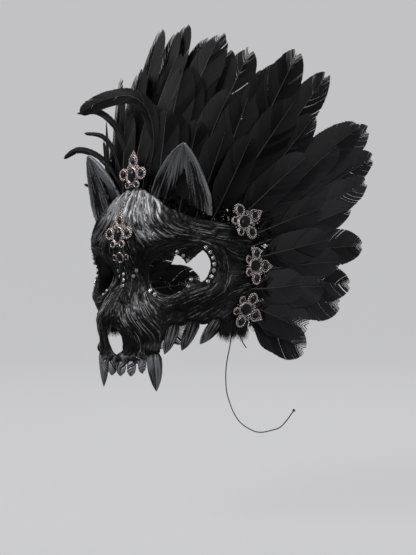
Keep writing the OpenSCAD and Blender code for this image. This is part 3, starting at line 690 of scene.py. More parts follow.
# ---------------------------------------------------------------------------
# Ears: two upright pricked ears of the same resin, with the same hair lines running
# to the tip, their rims brushed brightest; a dark cloth lining closes each from behind.
# ---------------------------------------------------------------------------
EAR_W, EAR_H = 73.0, 68.0
EAR_TIP = -8 / 74 * EAR_W


def turned_about(axis, degrees):
    c, s = math.cos(math.radians(degrees)), math.sin(math.radians(degrees))
    i, j = [(1, 2), (2, 0), (0, 1)][axis]
    m = np.eye(3)
    m[i, i], m[j, j], m[i, j], m[j, i] = c, c, -s, s
    return m


ear_turn = turned_about(2, 20) @ turned_about(1, 18) @ turned_about(0, 18)
ear_place = np.array([56, 5, 68])


def ear_edges(v):
    v = np.clip(v, 0, 1)
    inner = EAR_TIP - (EAR_W / 2 + EAR_TIP) * (1 - v * v) ** 0.9
    return inner, EAR_TIP + (EAR_W / 2 - EAR_TIP) * (1 - v**1.6) ** 0.85


def wave_noise(x, y, seed, waves=14):
    """Smooth uneven waves over a plane, from -1 to 1."""
    pick = np.random.default_rng(seed)
    total = 0
    for _ in range(waves):
        kx, ky = pick.normal(0, 1, 2)
        total = total + np.sin(kx * x + ky * y + pick.uniform(0, 6.28))
    return np.clip(total / math.sqrt(waves / 2) / 1.6, -1, 1)


for side in ("left", "right"):
    ear = remeshed(copy_of("ear_" + side, "ear_modelled_" + side), 0.62)
    points, normals = mesh_points(ear.data)
    flip = np.array([1.0 if side == "left" else -1.0, 1, 1])
    local = (points * flip - ear_place) @ ear_turn
    v = np.clip(local[:, 2] / EAR_H, 0, 1)
    inner, outer_x = ear_edges(v)
    across = (local[:, 0] - inner) / np.maximum(outer_x - inner, 0.5)
    wander = wave_noise(across * 2.5, v * 3, 11)
    ridge = wave_noise(across * 95 + wander * 4, v * 4, 12 + len(side)) * 0.55
    ridge = ridge + wave_noise(across * 210 + wander * 9, v * 9, 14) * 0.45
    edge = mound(np.minimum(across, 1 - across) * np.maximum(outer_x - inner, 4) / 5.5)
    set_points(ear.data, points + normals * (0.75 * ridge * ease(0.0, 0.1, v) * (1 - ease(0.9, 1, v)))[:,
            None])
    region = 0.28 + 0.30 * edge + 0.12 * wave_noise(across * 3, v * 4, 21)
    add_values(ear.data, "silver", rubbed(region, ridge * 0.5 + 0.5))
    ear.data.materials.append(paint_mat)
    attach(ear, "root")
    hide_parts("ear_" + side)

lining_mat, nodes, links, shader = new_material("dark_felt", 0.95, Sheen_Weight=0.1)
tinted(nodes, links, shader, noise(nodes, links, 700, 6), (0.008, 0.008, 0.009), (0.028, 0.028, 0.031))
bump(nodes, links, shader, noise(nodes, links, 2200, 6), 0.0003, 0.8)
for node in ("ear_liner_left", "ear_liner_right", "lining"):
    frame_nodes[node].data.materials.clear()
    frame_nodes[node].data.materials.append(lining_mat)

# ---------------------------------------------------------------------------
# Teeth: resin pegs pressed into sockets in the jaw's edge: six blunt incisors, two
# fangs and six long side teeth, all ridged lengthwise and brushed with silver.
# ---------------------------------------------------------------------------
for node in sorted(frame_nodes):
    if not (node == "incisors" or node.startswith(("fang", "side_tooth"))):
        continue
    tooth = remeshed(copy_of(node, node + "_modelled"), 0.42)
    points, normals = mesh_points(tooth.data)
    fang = node.startswith("fang")
    top = points[points[:, 2] > np.percentile(points[:, 2], 85)].mean(0)
    tip = points[points[:, 2] < np.percentile(points[:, 2], 4)].mean(0)
    if node == "incisors":
        angle = np.degrees(np.arctan2(points[:, 0], WRAP_Y - points[:, 1]))
        turn = angle * 0.9 + 8 * wave_noise(points[:, 2] * 0.12, angle * 0.05, 31)
        s = np.clip((-91 - points[:, 2]) / 18, 0, 1)
        ridge = wave_noise(turn * 5.0, points[:, 2] * 0.3, 32)
    else:
        axis = unit(tip - top)
        s = np.clip((points - top) @ axis / np.linalg.norm(tip - top), 0, 1)
        e = unit(np.cross(axis, [0.3, 1, 0.2]))
        off = points - top
        turn = np.arctan2(off @ np.cross(axis, e), off @ e)
        ridge = wave_noise(np.cos(turn) * 10, np.sin(turn) * 10 + s * 4, 33 + len(node)) * 0.6
        ridge = ridge + 0.4 * wave_noise(np.cos(turn) * 24, np.sin(turn) * 24 + s * 6, 40)
    set_points(tooth.data, points + normals * ((0.62 if fang else 0.5) * ridge * ease(1.0, 0.8, s))[:,
            None])
    region = (0.40 if node == "incisors" else 0.42 if fang else 0.32) - 0.22 * ease(0.25, 0.0, s)
    region = region + 0.1 * wave_noise(points[:, 2] * 0.2, points[:, 0] * 0.2, 41)
    add_values(tooth.data, "silver", rubbed(region, ridge * 0.5 + 0.5))
    tooth.data.materials.append(paint_mat)
    tooth.data.shade_smooth()
    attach(tooth, "root")
    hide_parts(node)

# ---------------------------------------------------------------------------
# Pads and lining: felt glued inside the forehead, and three foam pads covered in the
# same felt that rest on the wearer's forehead and cheeks.
# ---------------------------------------------------------------------------
for node in ("forehead_pad", "cheek_pad_left", "cheek_pad_right"):
    pad = remeshed(copy_of(node, node + "_felt"), 1.5)
    mod = pad.modifiers.new("soft", "SMOOTH")
    mod.factor, mod.iterations = 0.5, 8
    baked(pad)
    points, normals = mesh_points(pad.data)
    quilt = wave_noise(points[:, 0] * 0.35, points[:, 2] * 0.35 + points[:, 1] * 0.2, 51)
    set_points(pad.data, points + normals * (0.35 * quilt)[:, None])
    pad.data.shade_smooth()
    pad.data.materials.append(lining_mat)
    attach(pad, "root")
    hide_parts(node)

# ---------------------------------------------------------------------------
# Feather band: stiffened black ribbon glued inside the shell's edge, which holds the
# quills, with a leather tab at each end for the tie cord.
# ---------------------------------------------------------------------------
ribbon_mat, nodes, links, shader = new_material("black_ribbon", 0.8)
tinted(nodes, links, shader, noise(nodes, links, 1500, 2, (1, 1, 6)), (0.006, 0.006, 0.006),
       (0.03, 0.03, 0.032))
bump(nodes, links, shader, noise(nodes, links, 1700, 2, (1, 1, 8)), 0.0002)
leather_mat, nodes, links, shader = new_material("tab_leather", 0.55)
tinted(nodes, links, shader, noise(nodes, links, 500, 6), (0.012, 0.010, 0.009), (0.05, 0.042, 0.036))
bump(nodes, links, shader, noise(nodes, links, 1600, 6), 0.0003, 0.8)
for node, material in (("feather_band", ribbon_mat), ("tie_tab_left", leather_mat),
                       ("tie_tab_right", leather_mat)):
    frame_nodes[node].data.materials.clear()
    frame_nodes[node].data.materials.append(material)

# ---------------------------------------------------------------------------
# Feathers: dyed goose feathers in three rows, the longest behind. Each has a tapering
# horn shaft and a vane of fine barbs that lie side by side, split in a few places.
# The left side's lower feathers are drawn paler as a painted sheen, and two right back-row feathers pale
# grey as painted light shining through them.
# ---------------------------------------------------------------------------
FEATHER_L, FEATHER_W = 204.0, 37.0
SIDE_PART = 0.32
ROWS = {"back": (17, 1.0, 1.0, -2.0, 0.0), "middle": (14, 0.76, 0.95, 0.0, 4.5),
        "front": (12, 0.5, 0.85, 2.0, 9.0)}
BARB_GAP = 0.62
BARB_STEPS = 6
DOWN_EACH = 70        # fluffy barbs round each quill's foot
SOFT_TIP = 1.05       # how far the soft barbs run past the stiff vane, along and across it
SOFT_EDGE = 1.13


def vary(i, k):
    """A repeatable uneven number from -1 to 1."""
    v = math.sin(math.radians(i * 127.1 + k * 311.7)) * 43.7585
    return 2 * (v - math.floor(v)) - 1


def top_edge(a):
    return 50 + 40 * np.cos(np.radians(a)) ** 5.2


def root_place(t):
    """Where a quill is rooted, t along the band from the jaw to the crest: a, z, lift, fan."""
    if t < SIDE_PART:
        a, z = SIDE_ANGLE - 1, -51 + (top_edge(SIDE_ANGLE) - 8 + 51) * t / SIDE_PART
        fan = -20 + 50 * (t / SIDE_PART) ** 0.8
    else:
        along = (t - SIDE_PART) / (1 - SIDE_PART)
        a = (SIDE_ANGLE - 1) * (1 - along)
        z = top_edge(a) - 8
        fan = 30 + 60 * math.sin(math.radians(90 * along))
    lift = -6.5 - 4 * mound((t - 0.37) / 0.1) - 21 * mound((a - 40) / 23)
    return a, z, lift, fan


def turned(e, u, degrees):
    return e * math.cos(math.radians(degrees)) + u * math.sin(math.radians(degrees))


def vane(s):
    """Half-width of the vane, s along the shaft, as a share of its widest."""
    tip = np.sqrt(np.clip(1 - (np.maximum(s - 0.72, 0) / 0.285) ** 2, 0, 1))
    return np.where(s < 0.1, 0.05, 0.05 + 0.95 * ease(0.08, 0.46, s)) * tip


def feather_lines(spine, facing, width, seed, gap=BARB_GAP, spread=1.0, fray=1.0):
    """Barbs and shaft of one feather: spine(s) gives points, facing is the way its face looks."""
    pick = np.random.default_rng(seed)
    fine = np.linspace(0, 1, 161)
    line = spine(fine)
    run = np.concatenate([[0], np.cumsum(np.linalg.norm(np.diff(line, axis=0), axis=1))])
    long = run[-1]
    tangent = unit(np.gradient(line, axis=0))
    facing = np.broadcast_to(facing, line.shape)
    side = unit(np.cross(tangent, facing))
    up = np.cross(side, tangent)

    def at(field, s):
        return np.stack([np.interp(s, fine, field[:, k]) for k in range(3)], -1)

    barbs, normals, wides, tones = [], [], [], []
    for sense in (-1, 1):
        count = int(long * 0.9 / gap)
        end = np.linspace(0.085, 1.0, count)
        clump = np.cumsum(pick.random(count) < 0.05)
        lean = pick.normal(0, 0.0045, clump.max() + 1)[clump] * fray
        split = np.where(pick.random(clump.max() + 1) < 0.04, pick.uniform(0.55, 0.85, clump.max() + 1),
                         1.0)[clump]
        reach = np.maximum(vane(end) * width / 2, 0.4) * (1 + pick.normal(0, 0.012, count) * fray)
        reach = reach * np.where(end > 0.45, 1 - (1 - split) * 0.25 * fray, 1)
        angle = np.radians(46 - 20 * end)
        root = np.maximum(end - reach / np.tan(angle) / long * spread, 0.03 + end * 0.05)
        tip_s = end + lean + pick.normal(0, 0.0012, count)
        start = at(line, root)
        finish = at(line, np.clip(tip_s, 0, 1)) + at(side, tip_s) * (sense * reach)[:, None]
        finish += at(tangent, tip_s) * (np.maximum(tip_s - 1, 0) * long)[:, None]
        camber = (-0.10 * reach + pick.normal(0, 0.25, clump.max() + 1)[clump] * fray)[:, None]
        chord = np.linalg.norm(finish - start, axis=1)
        middle = start + at(side, root) * (sense * reach * 0.62)[:, None]
        middle = middle + at(tangent, root) * (chord * 0.36)[:, None]
        u = np.linspace(0, 1, BARB_STEPS)[None, :, None]
        curve = start[:, None] * (1 - u) ** 2 + middle[:, None] * 2 * u * (1 - u) + finish[:, None] * u * u
        raised = at(up, root)[:, None]
        curve = curve + raised * (camber[:, None] * u**1.6 + 0.35 * (1 - u))
        direction = unit(np.gradient(curve, axis=1))
        normal = unit(raised - direction * np.sum(direction * raised, -1, keepdims=True))
        shingle = 0.30 + pick.normal(0, 0.05, (count, 1, 1))
        normal = unit(normal + np.cross(direction, normal) * shingle * sense)
        barbs.append(curve)
        normals.append(normal)
        taper = 1 - 0.22 * np.linspace(0, 1, BARB_STEPS) ** 2
        wides.append(np.broadcast_to(gap * 0.85 * taper, (count, BARB_STEPS)))
        dye = pick.normal(0, 0.09, clump.max() + 1)[clump][:, None]
        tones.append(dye + np.linspace(-0.05, 0.12, BARB_STEPS)[None] + 0.07 * end[:, None])
    shaft = at(line, np.linspace(0, 0.985, 20)) + at(up, np.linspace(0, 0.985, 20)) * 0.35
    return (*map(np.concatenate, (barbs, normals, wides, tones)), shaft)


feather_mat, nodes, links, shader = new_material("dyed_black_feather", 0.55, Specular_IOR_Level=0.15)
# The tone value is uneven dye, with painted sheen and painted light on some feathers.
tone = set_node(nodes, "ShaderNodeAttribute", attribute_name="tone").outputs["Fac"]
tinted(nodes, links, shader, tone, (0.0025, 0.0025, 0.0028), (0.075, 0.075, 0.08))
bump(nodes, links, shader, noise(nodes, links, 5200, 2), 0.00005)
shaft_mat, nodes, links, shader = new_material("feather_shaft", 0.38)
tone = set_node(nodes, "ShaderNodeAttribute", attribute_name="tone").outputs["Fac"]
tinted(nodes, links, shader, tone, (0.010, 0.009, 0.009), (0.13, 0.118, 0.112))
bump(nodes, links, shader, noise(nodes, links, 3000, 2), 0.00005)
flat_tree = line_tree("flat_strips", True)


def row_feather(sense, row, i):
    """The rule of one feather: its spine, facing, width, and how pale it is drawn: uneven dye plus painted
    light.
    """
    count, share, wide_share, layer, row_splay = ROWS[row]
    k = sense + 3 * list(ROWS).index(row) + 5
    t = (i + 0.45 + 0.25 * vary(i, k)) / count
    a, z, lift, fan = root_place(t)
    fan = fan + 6 * vary(i, k + 10)
    e, u, n = shell_axes(a, z)
    flat = turned(e, u, fan)
    splay = row_splay + 13 - 4 * float(ease(0.8, 1, t)) + (2 if sense < 0 else 0) + 0.5 * vary(i, k + 20)
    way, facing = turned(flat, n, splay), turned(n, -flat, splay)
    place_share = 0.52 + 0.48 * math.sin(math.radians(90 * min(1, t / 0.45)))
    long = FEATHER_L * share * place_share * (1 + 0.07 * vary(i, k + 30))
    long *= (1 + 0.16 * float(mound((t - 0.28) / 0.17))) * SOFT_TIP
    wide = SOFT_EDGE * FEATHER_W * wide_share * (1 + 0.12 * vary(i, k + 40))
    curl, sweep = (-0.16 + 0.02 * vary(i, k + 50)) * share, 0.16 * vary(i, k + 60)
    root = on_shell(a, z, lift + layer + (1 if sense < 0 else 0))
    cross = np.cross(way, facing)
    mirror = np.array([sense, 1.0, 1.0])

    def spine(s):
        s = np.asarray(s, float)[:, None]
        ahead = way * (s - 0.125 * s * s * (abs(curl) + abs(sweep)))
        line = root + long * (ahead + (facing * curl + cross * sweep) * s * s / 2)
        return line * mirror

    pale = 0.01 + 0.05 * abs(vary(i, k + 70))
    # Painted sheen: the left side's lower feathers are drawn paler.
    if sense > 0:
        pale += 0.50 * float(ease(0.62, 0.28, t)) * (0.6 + 0.4 * vary(i, k + 80))
    # Painted light shining through: two right back-row feathers are drawn pale grey.
    if sense < 0 and row == "back" and i in (8, 10):
        pale += 0.75
    return spine, facing * mirror, wide, pale


for side, sense in (("left", 1), ("right", -1)):
    for row in ROWS:
        parts = []
        shafts, shaft_tones = [], []
        for i in range(ROWS[row][0]):
            spine, facing, wide, pale = row_feather(sense, row, i)
            seed = 900 + 100 * sense + 20 * list(ROWS).index(row) + i
            barbs, normals, wides, tones, shaft = feather_lines(spine, facing, wide, seed)
            # The barbs' tone carries the feather's painted sheen and painted light.
            parts.append((barbs, normals, wides, np.clip(tones + pale, 0, 1)))
            shafts.append(shaft)
            # The shafts carry the same painted sheen and painted light, a little paler.
            shaft_tones.append(np.full(20, pale + 0.3))
        barbs, normals, wides, tones = (np.concatenate(group) for group in zip(*parts))
        stem = "feathers_%s_%s" % (row, side)
        piece = swept(stem + "_barbs", barbs, wides, {"tone": tones}, flat_tree, feather_mat,
                      facing=normals)
        shaft_wide = np.linspace(1.25, 0.22, 20) * (0.7 + 0.3 * ROWS[row][1])
        shaft = swept(stem + "_shafts", np.array(shafts), shaft_wide, {"tone": np.array(shaft_tones)},
                      round_tree,
                      shaft_mat, uneven=0.0)
        pick = np.random.default_rng(300 + 10 * list(ROWS).index(row) + sense)
        fluff, fluff_facing = [], []
        for i in range(ROWS[row][0]):
            spine, facing, wide, pale = row_feather(sense, row, i)
            s = pick.uniform(0.0, 0.16 / ROWS[row][1], DOWN_EACH)
            base, ahead = spine(s), unit(spine(s + 0.02) - spine(s))
            beside = unit(np.cross(ahead, facing)) * pick.choice([-1, 1], DOWN_EACH)[:, None]
            lead = pick.uniform(0.1, 0.9, DOWN_EACH)[:, None]
            out = unit(beside + ahead * lead + facing * pick.normal(0.1, 0.35, DOWN_EACH)[:, None])
            u = np.linspace(0, 1, 5)[None, :, None]
            reach = pick.uniform(7, 13, DOWN_EACH)[:, None, None]
            bend = unit(pick.normal(0, 1, (DOWN_EACH, 3)) + ahead)[:, None]
            fluff.append(base[:, None] + out[:, None] * u * reach + bend * u * u * reach * 0.3)
            tilt = pick.normal(0, 0.4, (DOWN_EACH, 3))
            fluff_facing.append(np.broadcast_to(unit(facing + tilt)[:, None], (DOWN_EACH, 5, 3)))
        down = swept(stem + "_down", np.concatenate(fluff), np.linspace(0.8, 0.25, 5), {"tone": 0.03},
                     flat_tree,
                     feather_mat, facing=np.concatenate(fluff_facing))
        for obj in (piece, shaft, down):
            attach(obj, "root")
            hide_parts("feathers_%s_%s" % (row, side))

# ---------------------------------------------------------------------------
# Loose plumes: two thin stripped feathers that curl over beside the right ear, and
# three wisps below them, glued to the same band.
# ---------------------------------------------------------------------------
CURLS = [([(8, -2, 86), (17, 2, 122), (19, 2, 149), (11, 0, 176), (-9, -5, 191), (-38, -11, 191),
           (-63, -17, 184),
           (-74, -19, 177)], 17),
         ([(-14, -1, 84), (-20, 4, 112), (-27, 2, 142), (-41, -2, 166), (-61, -8, 180), (-87, -14, 180)],
          7)]
WISPS = [([(-19, 0, 82), (-32, 3, 110), (-42, 0, 136), (-55, -5, 152), (-79, -10, 157)], 5),
         ([(-24, 2, 80), (-42, 0, 110), (-62, -4, 130), (-87, -11, 139), (-107, -16, 131)], 7),
         ([(-66, 24, 62), (-80, 26, 86), (-92, 20, 98), (-104, 12, 103)], 4)]
PLUME_FACING = np.array([0.67, -0.74, 0.0])
for node, plumes in (("curl_feathers", CURLS), ("wisp_feathers", WISPS)):
    parts, shafts = [], []
    for i, (route, wide) in enumerate(plumes):
        path = smooth_line(route, 12)
        share = np.linspace(0, 1, len(path))

        def spine(s, path=path, share=share):
            return np.stack([np.interp(s, share, path[:, k]) for k in range(3)], -1)

        barbs, normals, wides, tones, shaft = feather_lines(spine, PLUME_FACING, wide, 700 + i, gap=0.8,
                                                            spread=1.5, fray=2.2)
        parts.append((barbs, normals, wides, np.clip(tones + 0.12, 0, 1)))
        shafts.append(shaft)
    barbs, normals, wides, tones = (np.concatenate(group) for group in zip(*parts))
    piece = swept(node + "_barbs", barbs, wides * 0.8, {"tone": tones}, flat_tree, feather_mat,
                  facing=normals)
    shaft = swept(node + "_shafts", np.array(shafts), np.linspace(0.7, 0.18, 20), {"tone": 0.25},
                  round_tree, shaft_mat, uneven=0.0)
    for obj in (piece, shaft):
        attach(obj, "root")
        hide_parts(node)

# ---------------------------------------------------------------------------
# Fur: a tuft of long black fur glued under the jaw's rear edge on each side, below
# the lowest brooch, its hairs clumped and of uneven length.
# ---------------------------------------------------------------------------
fur_mat, nodes, links, shader = new_material("black_fur", 0.5, Specular_IOR_Level=0.3)
tone = set_node(nodes, "ShaderNodeAttribute", attribute_name="tone").outputs["Fac"]
tinted(nodes, links, shader, tone, (0.006, 0.006, 0.007), (0.10, 0.10, 0.105))
for side, sense in (("left", 1), ("right", -1)):
    pick = np.random.default_rng(61 + sense)
    hairs = 3000
    a, z = pick.uniform(64, 86, hairs), pick.uniform(-60, -50, hairs)
    tuft = (np.floor(a * 1.1) + 7 * np.floor(z / 4)).astype(int)
    lean = pick.normal(0, 0.32, 400)[tuft % 400]
    e, u, n = shell_axes(a, z)
    way = unit(-u + e * (lean + 0.15)[:, None] + n * pick.normal(0.02, 0.16, hairs)[:, None])
    long = (10 + 9 * pick.random(400)[tuft % 400]) * pick.uniform(0.6, 1.0, hairs)
    long = np.minimum(long, (z + 76))
    s = np.linspace(0, 1, 5)[None, :, None]
    root = on_shell(a, z, pick.uniform(-3.5, 1.6, hairs))[:, None]
    stray = (e * pick.normal(0, 1.2, hairs)[:, None])[:, None]
    line = root + way[:, None] * s * long[:, None, None] + stray * s * s
    line = line * np.array([sense, 1, 1])
    fur = swept("fur_" + side + "_hairs", line, np.linspace(0.17, 0.03, 5),
                {"tone": pick.random((hairs, 1)) ** 2}, round_tree, fur_mat)
    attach(fur, "root")
    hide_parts("fur_" + side)

# ---------------------------------------------------------------------------
# Crystal studs: round cut stones in thin metal cups, glued along the eye openings,
# over the bridge of the nose and in a row up to the crest.
# ---------------------------------------------------------------------------
def scatter_tree(name):
    """A copy of one small shape at each point, turned and sized as the points say."""
    tree, given, add = node_tree(name, (("Geometry", "Geometry"), ("Shape", "Object"), ("Size", "Float"),
                                        ("Finish", "Material")))
    shape = add("GeometryNodeObjectInfo", {"Object": given["Shape"]})
    facing, across, size = [
        add("GeometryNodeInputNamedAttribute", {}, data_type="FLOAT_VECTOR", Name=key).outputs["Attribute"]
        for key in ("facing", "across", "size")]
    axes = add("FunctionNodeAxesToRotation", {"Primary Axis": facing, "Secondary Axis": across},
               primary_axis="Z", secondary_axis="X")
    grown = add("ShaderNodeVectorMath", {0: size, "Scale": given["Size"]}, operation="SCALE")
    place = add("GeometryNodeInstanceOnPoints", {
        "Points": given["Geometry"], "Instance": shape.outputs["Geometry"],
        "Rotation": axes.outputs["Rotation"], "Scale": grown.outputs["Vector"]})
    whole = add("GeometryNodeRealizeInstances", {"Geometry": place.outputs["Instances"]})
    finish = add("GeometryNodeSetMaterial", {"Geometry": whole.outputs["Geometry"],
                                             "Material": given["Finish"]})
    add("NodeGroupOutput", {"Geometry": finish.outputs["Geometry"]})
    return tree


def lathe(name, profile, sides, smooth=True, shift=0.0):
    """A small turned shape about Z; profile is (radius, height) from the bottom up."""
    k = (np.arange(sides) + shift) * 2 * np.pi / sides
    verts = [(r * math.cos(t), r * math.sin(t), h) for r, h in profile for t in k]
    faces = [(i * sides + j, i * sides + (j + 1) % sides, (i + 1) * sides + (j + 1) % sides,
              (i + 1) * sides + j)
             for i in range(len(profile) - 1) for j in range(sides)]
    faces += [tuple(range(sides))[::-1], tuple(range((len(profile) - 1) * sides, len(profile) * sides))]
    return make_mesh(name, verts, faces, smooth)


def scattered(name, places, shape, material):
    """places are (point, facing, across, size) in mm."""
    mesh = bpy.data.meshes.new(name)
    mesh.from_pydata([tuple(np.array(p[0]) * MM) for p in places], [], [])
    for column, key in ((1, "facing"), (2, "across"), (3, "size")):
        add_values(mesh, key, [np.broadcast_to(p[column], 3) for p in places], "FLOAT_VECTOR")
    obj = bpy.data.objects.new(name, mesh)
    bpy.context.collection.objects.link(obj)
    return run_tree(obj, scatter, Shape=shape, Size=1.0, Finish=material)


scatter = scatter_tree("scatter_shapes")
silver_mat, nodes, links, shader = new_material("antique_silver", 0.24, 1.0)
tinted(nodes, links, shader, noise(nodes, links, 800, 5), (0.50, 0.44, 0.42), (0.90, 0.84, 0.815))
bump(nodes, links, shader, noise(nodes, links, 1500, 4), 0.0001, 0.5)
crystal_mat, nodes, links, shader = new_material("clear_crystal", 0.05, 0.0, IOR=1.7, Coat_Weight=0.6,
                                                 Coat_Roughness=0.03)
tinted(nodes, links, shader, noise(nodes, links, 900, 2), (0.30, 0.31, 0.33), (0.92, 0.93, 0.95))
shader.inputs["Metallic"].default_value = 0.55
cup_shape = lathe("cup_shape", [(1.75, -0.5), (2.1, 0.2), (2.12, 0.75), (1.95, 0.95), (1.7, 0.8)], 12)
cut_shape = lathe("cut_shape", [(1.72, 0.55), (1.72, 0.85), (1.25, 1.5), (0.8, 1.75)], 8, smooth=False)


def stud_angle(s, z, middle=40.0):
    """Degrees round the face of a point s mm beside the eye's cutting line."""
    a = middle
    for _ in range(4):
        a = middle + math.degrees(math.asin(s / float(shell_r(a, z))))
    return a


eye_spots = [(stud_angle(-14 + 24.8 * math.cos(math.radians(t)), 0), -3 + 24.8 * math.sin(math.radians(t)))
             for t in (66, 50, 34, -14, -32, -120, -135)]
eye_spots += [(stud_angle(9.5 + 23.8 * math.cos(math.radians(t)), 0),
               5.5 + 23.8 * math.sin(math.radians(t)))
              for t in range(52, -45, -16)]
bridge_spots = [(0, -3), (0, -9), (0, -15.5), (8.5, 1), (-8.5, 1), (6.2, -5), (-6.2, -5)]
crest_spots = [(-3.5, 64), (-3.5, 70.5), (-3.5, 77), (-3.5, 84)]
for node, spots in (("eye_studs_left", eye_spots), ("eye_studs_right", [(-a, z) for a, z in eye_spots]),
                    ("bridge_studs", bridge_spots), ("crest_studs", crest_spots)):
    places = []
    for a, z in spots:
        e, u, n = shell_axes(float(a), float(z))
        places.append((on_shell(float(a), float(z), 0.9), n, e, (1, 1, 1)))
    for part, shape, material in (("cups", cup_shape, silver_mat), ("stones", cut_shape, crystal_mat)):
        studs = scattered(node + "_" + part, places, shape, material)
        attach(studs, "root")
        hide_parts(node)

# ---------------------------------------------------------------------------
# Brooches: eight cast openwork flowers in antique silver, each with a large dark oval
# stone, two round lobes, two buds and a pointed petal, and a small jewel at the brow.
# ---------------------------------------------------------------------------
LOBES = [(-13.4, 2.0), (13.4, 2.0)]
BUDS = [(-6.8, -9.6), (6.8, -9.6)]
LINKS = [(-7.2, 9.2), (7.2, 9.2)]
PETAL = (0.0, 15.5)
stone_mat, nodes, links, shader = new_material("black_cut_stone", 0.10, Specular_IOR_Level=0.4)
tinted(nodes, links, shader, noise(nodes, links, 300, 2), (0.004, 0.004, 0.006), (0.03, 0.03, 0.038))
bead_shape = lathe("bead_shape", [(0.2, -0.95), (0.8, -0.6), (1.0, 0.0), (0.8, 0.6), (0.2, 0.95)], 7)
gem_shape = lathe("gem_shape", [(1.0, 0.0), (1.0, 0.25), (0.72, 0.72), (0.4, 0.95)], 10, smooth=False)
gem_shape.data.materials.append(stone_mat)
ring_shape = lathe("ring_shape", [(1.0, 0.0), (1.14, 0.15), (1.16, 0.7), (1.05, 0.95), (0.98, 0.75),
                                  (0.96, 0.2)], 20)
claw_shape = lathe("claw_shape", [(0.5, -1.0), (0.55, 0.2), (0.35, 0.8), (0.1, 1.0)], 6)


def petal_outline(r, tip, count):
    """A round end that runs out to a point at height tip above its middle."""
    start = math.asin(r / tip)
    turn = np.linspace(math.pi - start, 2 * math.pi + start, count - 1)
    return np.vstack([np.stack([r * np.cos(turn), r * np.sin(turn)], -1), [[0.0, tip]]])


def ellipse(w, h, count, cx=0.0, cy=0.0):
    k = np.arange(count) * 2 * np.pi / count
    return np.stack([cx + w * np.cos(k), cy + h * np.sin(k)], -1)


def rim_beads(outline, spacing, height, size):
    """Beads strung evenly round a closed outline."""
    closed = np.vstack([outline, outline[:1]])
    run = np.concatenate([[0], np.cumsum(np.linalg.norm(np.diff(closed, axis=0), axis=1))])
    s = np.linspace(0, run[-1], max(int(run[-1] / spacing), 5), endpoint=False)
    return [((np.interp(k, run, closed[:, 0]), np.interp(k, run, closed[:, 1]), height), size) for k in s]


def flower(kind):
    """One brooch's parts in its own frame: beads, rings, gems, claws and wires."""
    beads, rings, gems, claws, wires = [], [], [], [], []
    if kind == "brow":
        rings.append((0, 0, 0.4, 4.4, 5.1, 2.4))
        gems.append((0, 0, 1.2, 3.8, 4.5, 2.6))
        beads += rim_beads(ellipse(4.9, 5.6, 40), 1.35, 1.1, 0.62)
        for x in (-9, 9):
            rings.append((x, 0, 0.4, 2.5, 2.5, 1.8))
            gems.append((x, 0, 0.8, 2.2, 2.2, 1.8))
            beads += rim_beads(ellipse(3.2, 3.2, 24, x, 0), 1.2, 0.8, 0.5)
            wires.append([(x * 0.82, 0, 0.8), (x * 0.6, 1.4, 1.0), (x * 0.45, 0, 0.8)])
        return beads, rings, gems, claws, wires
    rings.append((0, 0, 0.6, 6.0, 7.7, 2.6))
    gems.append((0, 0, 1.5, 5.6, 7.3, 3.6))
    beads += rim_beads(ellipse(7.0, 8.8, 60), 1.8, 1.2, 0.95)
    for x, y in LOBES:
        rings.append((x, y, 0.5, 4.2, 4.2, 2.5))
        gems.append((x, y, 1.4, 3.9, 3.9, 2.6))
        beads += rim_beads(ellipse(6.0, 6.0, 48, x, y), 2.3, 1.2, 1.25)
        for k in range(4):
            t = math.pi * (k / 2 + 0.25)
            claws.append((x + 4.1 * math.cos(t), y + 4.1 * math.sin(t), 2.9, 0.75))
        for k in range(8):
            t = math.pi * k / 4
            wires.append([(x + 4.3 * math.cos(t), y + 4.3 * math.sin(t), 1.2),
                          (x + 5.2 * math.cos(t + 0.25), y + 5.2 * math.sin(t + 0.25), 1.8),
                          (x + 6.0 * math.cos(t + 0.1), y + 6.0 * math.sin(t + 0.1), 1.2)])
    for x, y in BUDS:
        rings.append((x, y, 0.5, 2.75, 2.75, 2.0))
        gems.append((x, y, 1.1, 2.45, 2.45, 2.0))
        beads += rim_beads(ellipse(3.6, 3.6, 30, x, y), 1.6, 1.0, 0.85)
    for x, y in LINKS:
        beads += rim_beads(ellipse(1.7, 1.7, 16, x, y), 1.1, 1.2, 0.6) + [((x, y, 1.6), 0.95)]
    beads += [((0, -9.4, 1.5), 1.5), ((-2.9, -10.6, 1.2), 0.8), ((2.9, -10.6, 1.2), 0.8),
              ((0, -12.2, 1.2), 0.7)]
    rings.append((PETAL[0], PETAL[1], 0.5, 3.6, 4.2, 2.4))
    gems.append((PETAL[0], PETAL[1], 1.3, 3.3, 3.9, 2.6))
    edge = petal_outline(6.2, 11.0, 40) + np.array(PETAL)
    beads += rim_beads(edge, 2.2, 1.3, 1.2)
    beads += [((0, PETAL[1] + 6.8, 1.6), 1.05), ((0, PETAL[1] + 9.0, 1.5), 0.75)]
    for sx in (-1, 1):
        wires.append([(sx * 5.0, 7.5, 1.0), (sx * 4.2, 11.5, 1.8), (sx * 4.6, 15.0, 1.3)])
        wires.append([(sx * 6.0, -3.5, 1.0), (sx * 8.4, -5.5, 1.9), (sx * 9.5, -3.0, 1.2)])
        wires.append([(sx * 3.4, 17.0, 1.2), (sx * 3.8, 20.5, 2.0), (sx * 1.4, 22.5, 1.5)])
        wires.append([(sx * 2.8, -7.0, 1.0), (sx * 1.2, -10.5, 2.0), (sx * 3.6, -12.2, 1.2)])
    for t in range(6):
        k = math.pi * (t / 3 + 1 / 6)
        claws.append((6.0 * math.cos(k), 7.6 * math.sin(k), 3.4, 0.85))
    return beads, rings, gems, claws, wires


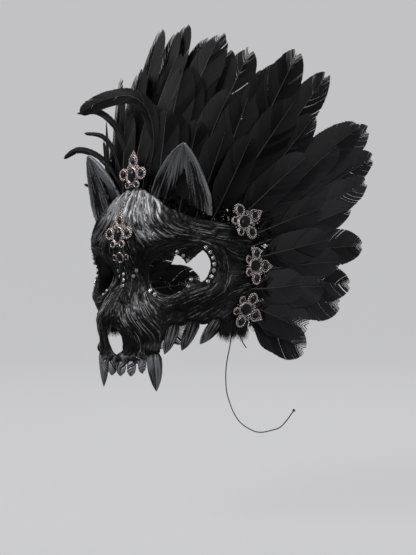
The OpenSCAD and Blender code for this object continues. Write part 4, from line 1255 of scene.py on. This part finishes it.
def seat_frame(a, z, lift, roll=0.0, turn=0.0):
    """Where a jewel sits: its middle, and its own across, up and outward ways."""
    e, u, n = shell_axes(a, z)
    base = np.stack([e, u, n], -1)
    return on_shell(a, z, 0.0) + n * lift, base @ turned_about(1, roll) @ turned_about(2, turn)


crest_y = on_shell(0.0, 90.0)[1] - 2.5
JEWELS = {"brooch_forehead": (*seat_frame(0.0, 38.0, 1.2), "flower"),
          "brooch_brow": (*seat_frame(0.0, 15.5, 1.2), "brow"),
          "brooch_crest": (np.array([0, crest_y, 103.0]), turned_about(0, 86), "flower")}
for i, level in enumerate(("upper", "middle", "lower")):
    centre, axes = seat_frame((75.0, 86.0, 79.5)[i], (50.0, 6.0, -39.0)[i], (8.0, 3.0, 3.0)[i], -6,
                              (-62, -90, -114)[i])
    JEWELS["brooch_left_" + level] = (centre, axes, "flower")
    flip = np.diag([-1.0, 1, 1])
    JEWELS["brooch_right_" + level] = (flip @ centre, flip @ axes @ flip, "flower")
for node, (centre, axes, kind) in JEWELS.items():
    beads, rings, gems, claws, wires = flower(kind)
    normal, across = axes[:, 2], axes[:, 0]

    def placed(x, y, z):
        return centre + axes @ np.array([x, y, z])

    bead_places = [(placed(*p), normal, across, (r, r, r)) for p, r in beads]
    ring_places = [(placed(x, y, z), normal, across, (w, h, d)) for x, y, z, w, h, d in rings]
    gem_places = [(placed(x, y, z), normal, across, (w, h, d)) for x, y, z, w, h, d in gems]
    metal = [scattered(node + "_beads", bead_places, bead_shape, silver_mat),
             scattered(node + "_rings", ring_places, ring_shape, silver_mat)]
    if claws:
        claw_places = [(placed(x, y, z), normal, across, (r, r, r)) for x, y, z, r in claws]
        metal.append(scattered(node + "_claws", claw_places, claw_shape, silver_mat))
    wire_lines = np.array([[placed(*((1 - t) ** 2 * p + 2 * t * (1 - t) * q + t * t * r))
                            for t in np.linspace(0, 1, 6)] for p, q, r in np.array(wires)])
    metal.append(swept(node + "_wires", wire_lines, 0.55, {}, round_tree, silver_mat, uneven=0.0))
    for obj in metal:
        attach(obj, "root")
        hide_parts(node)
    stones = scattered(node.replace("brooch", "jewel") + "_stones", gem_places, gem_shape, stone_mat)
    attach(stones, "root")
    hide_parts(node.replace("brooch", "stones"))
for shape in (cup_shape, cut_shape, bead_shape, gem_shape, ring_shape, claw_shape):
    bpy.data.objects.remove(shape)
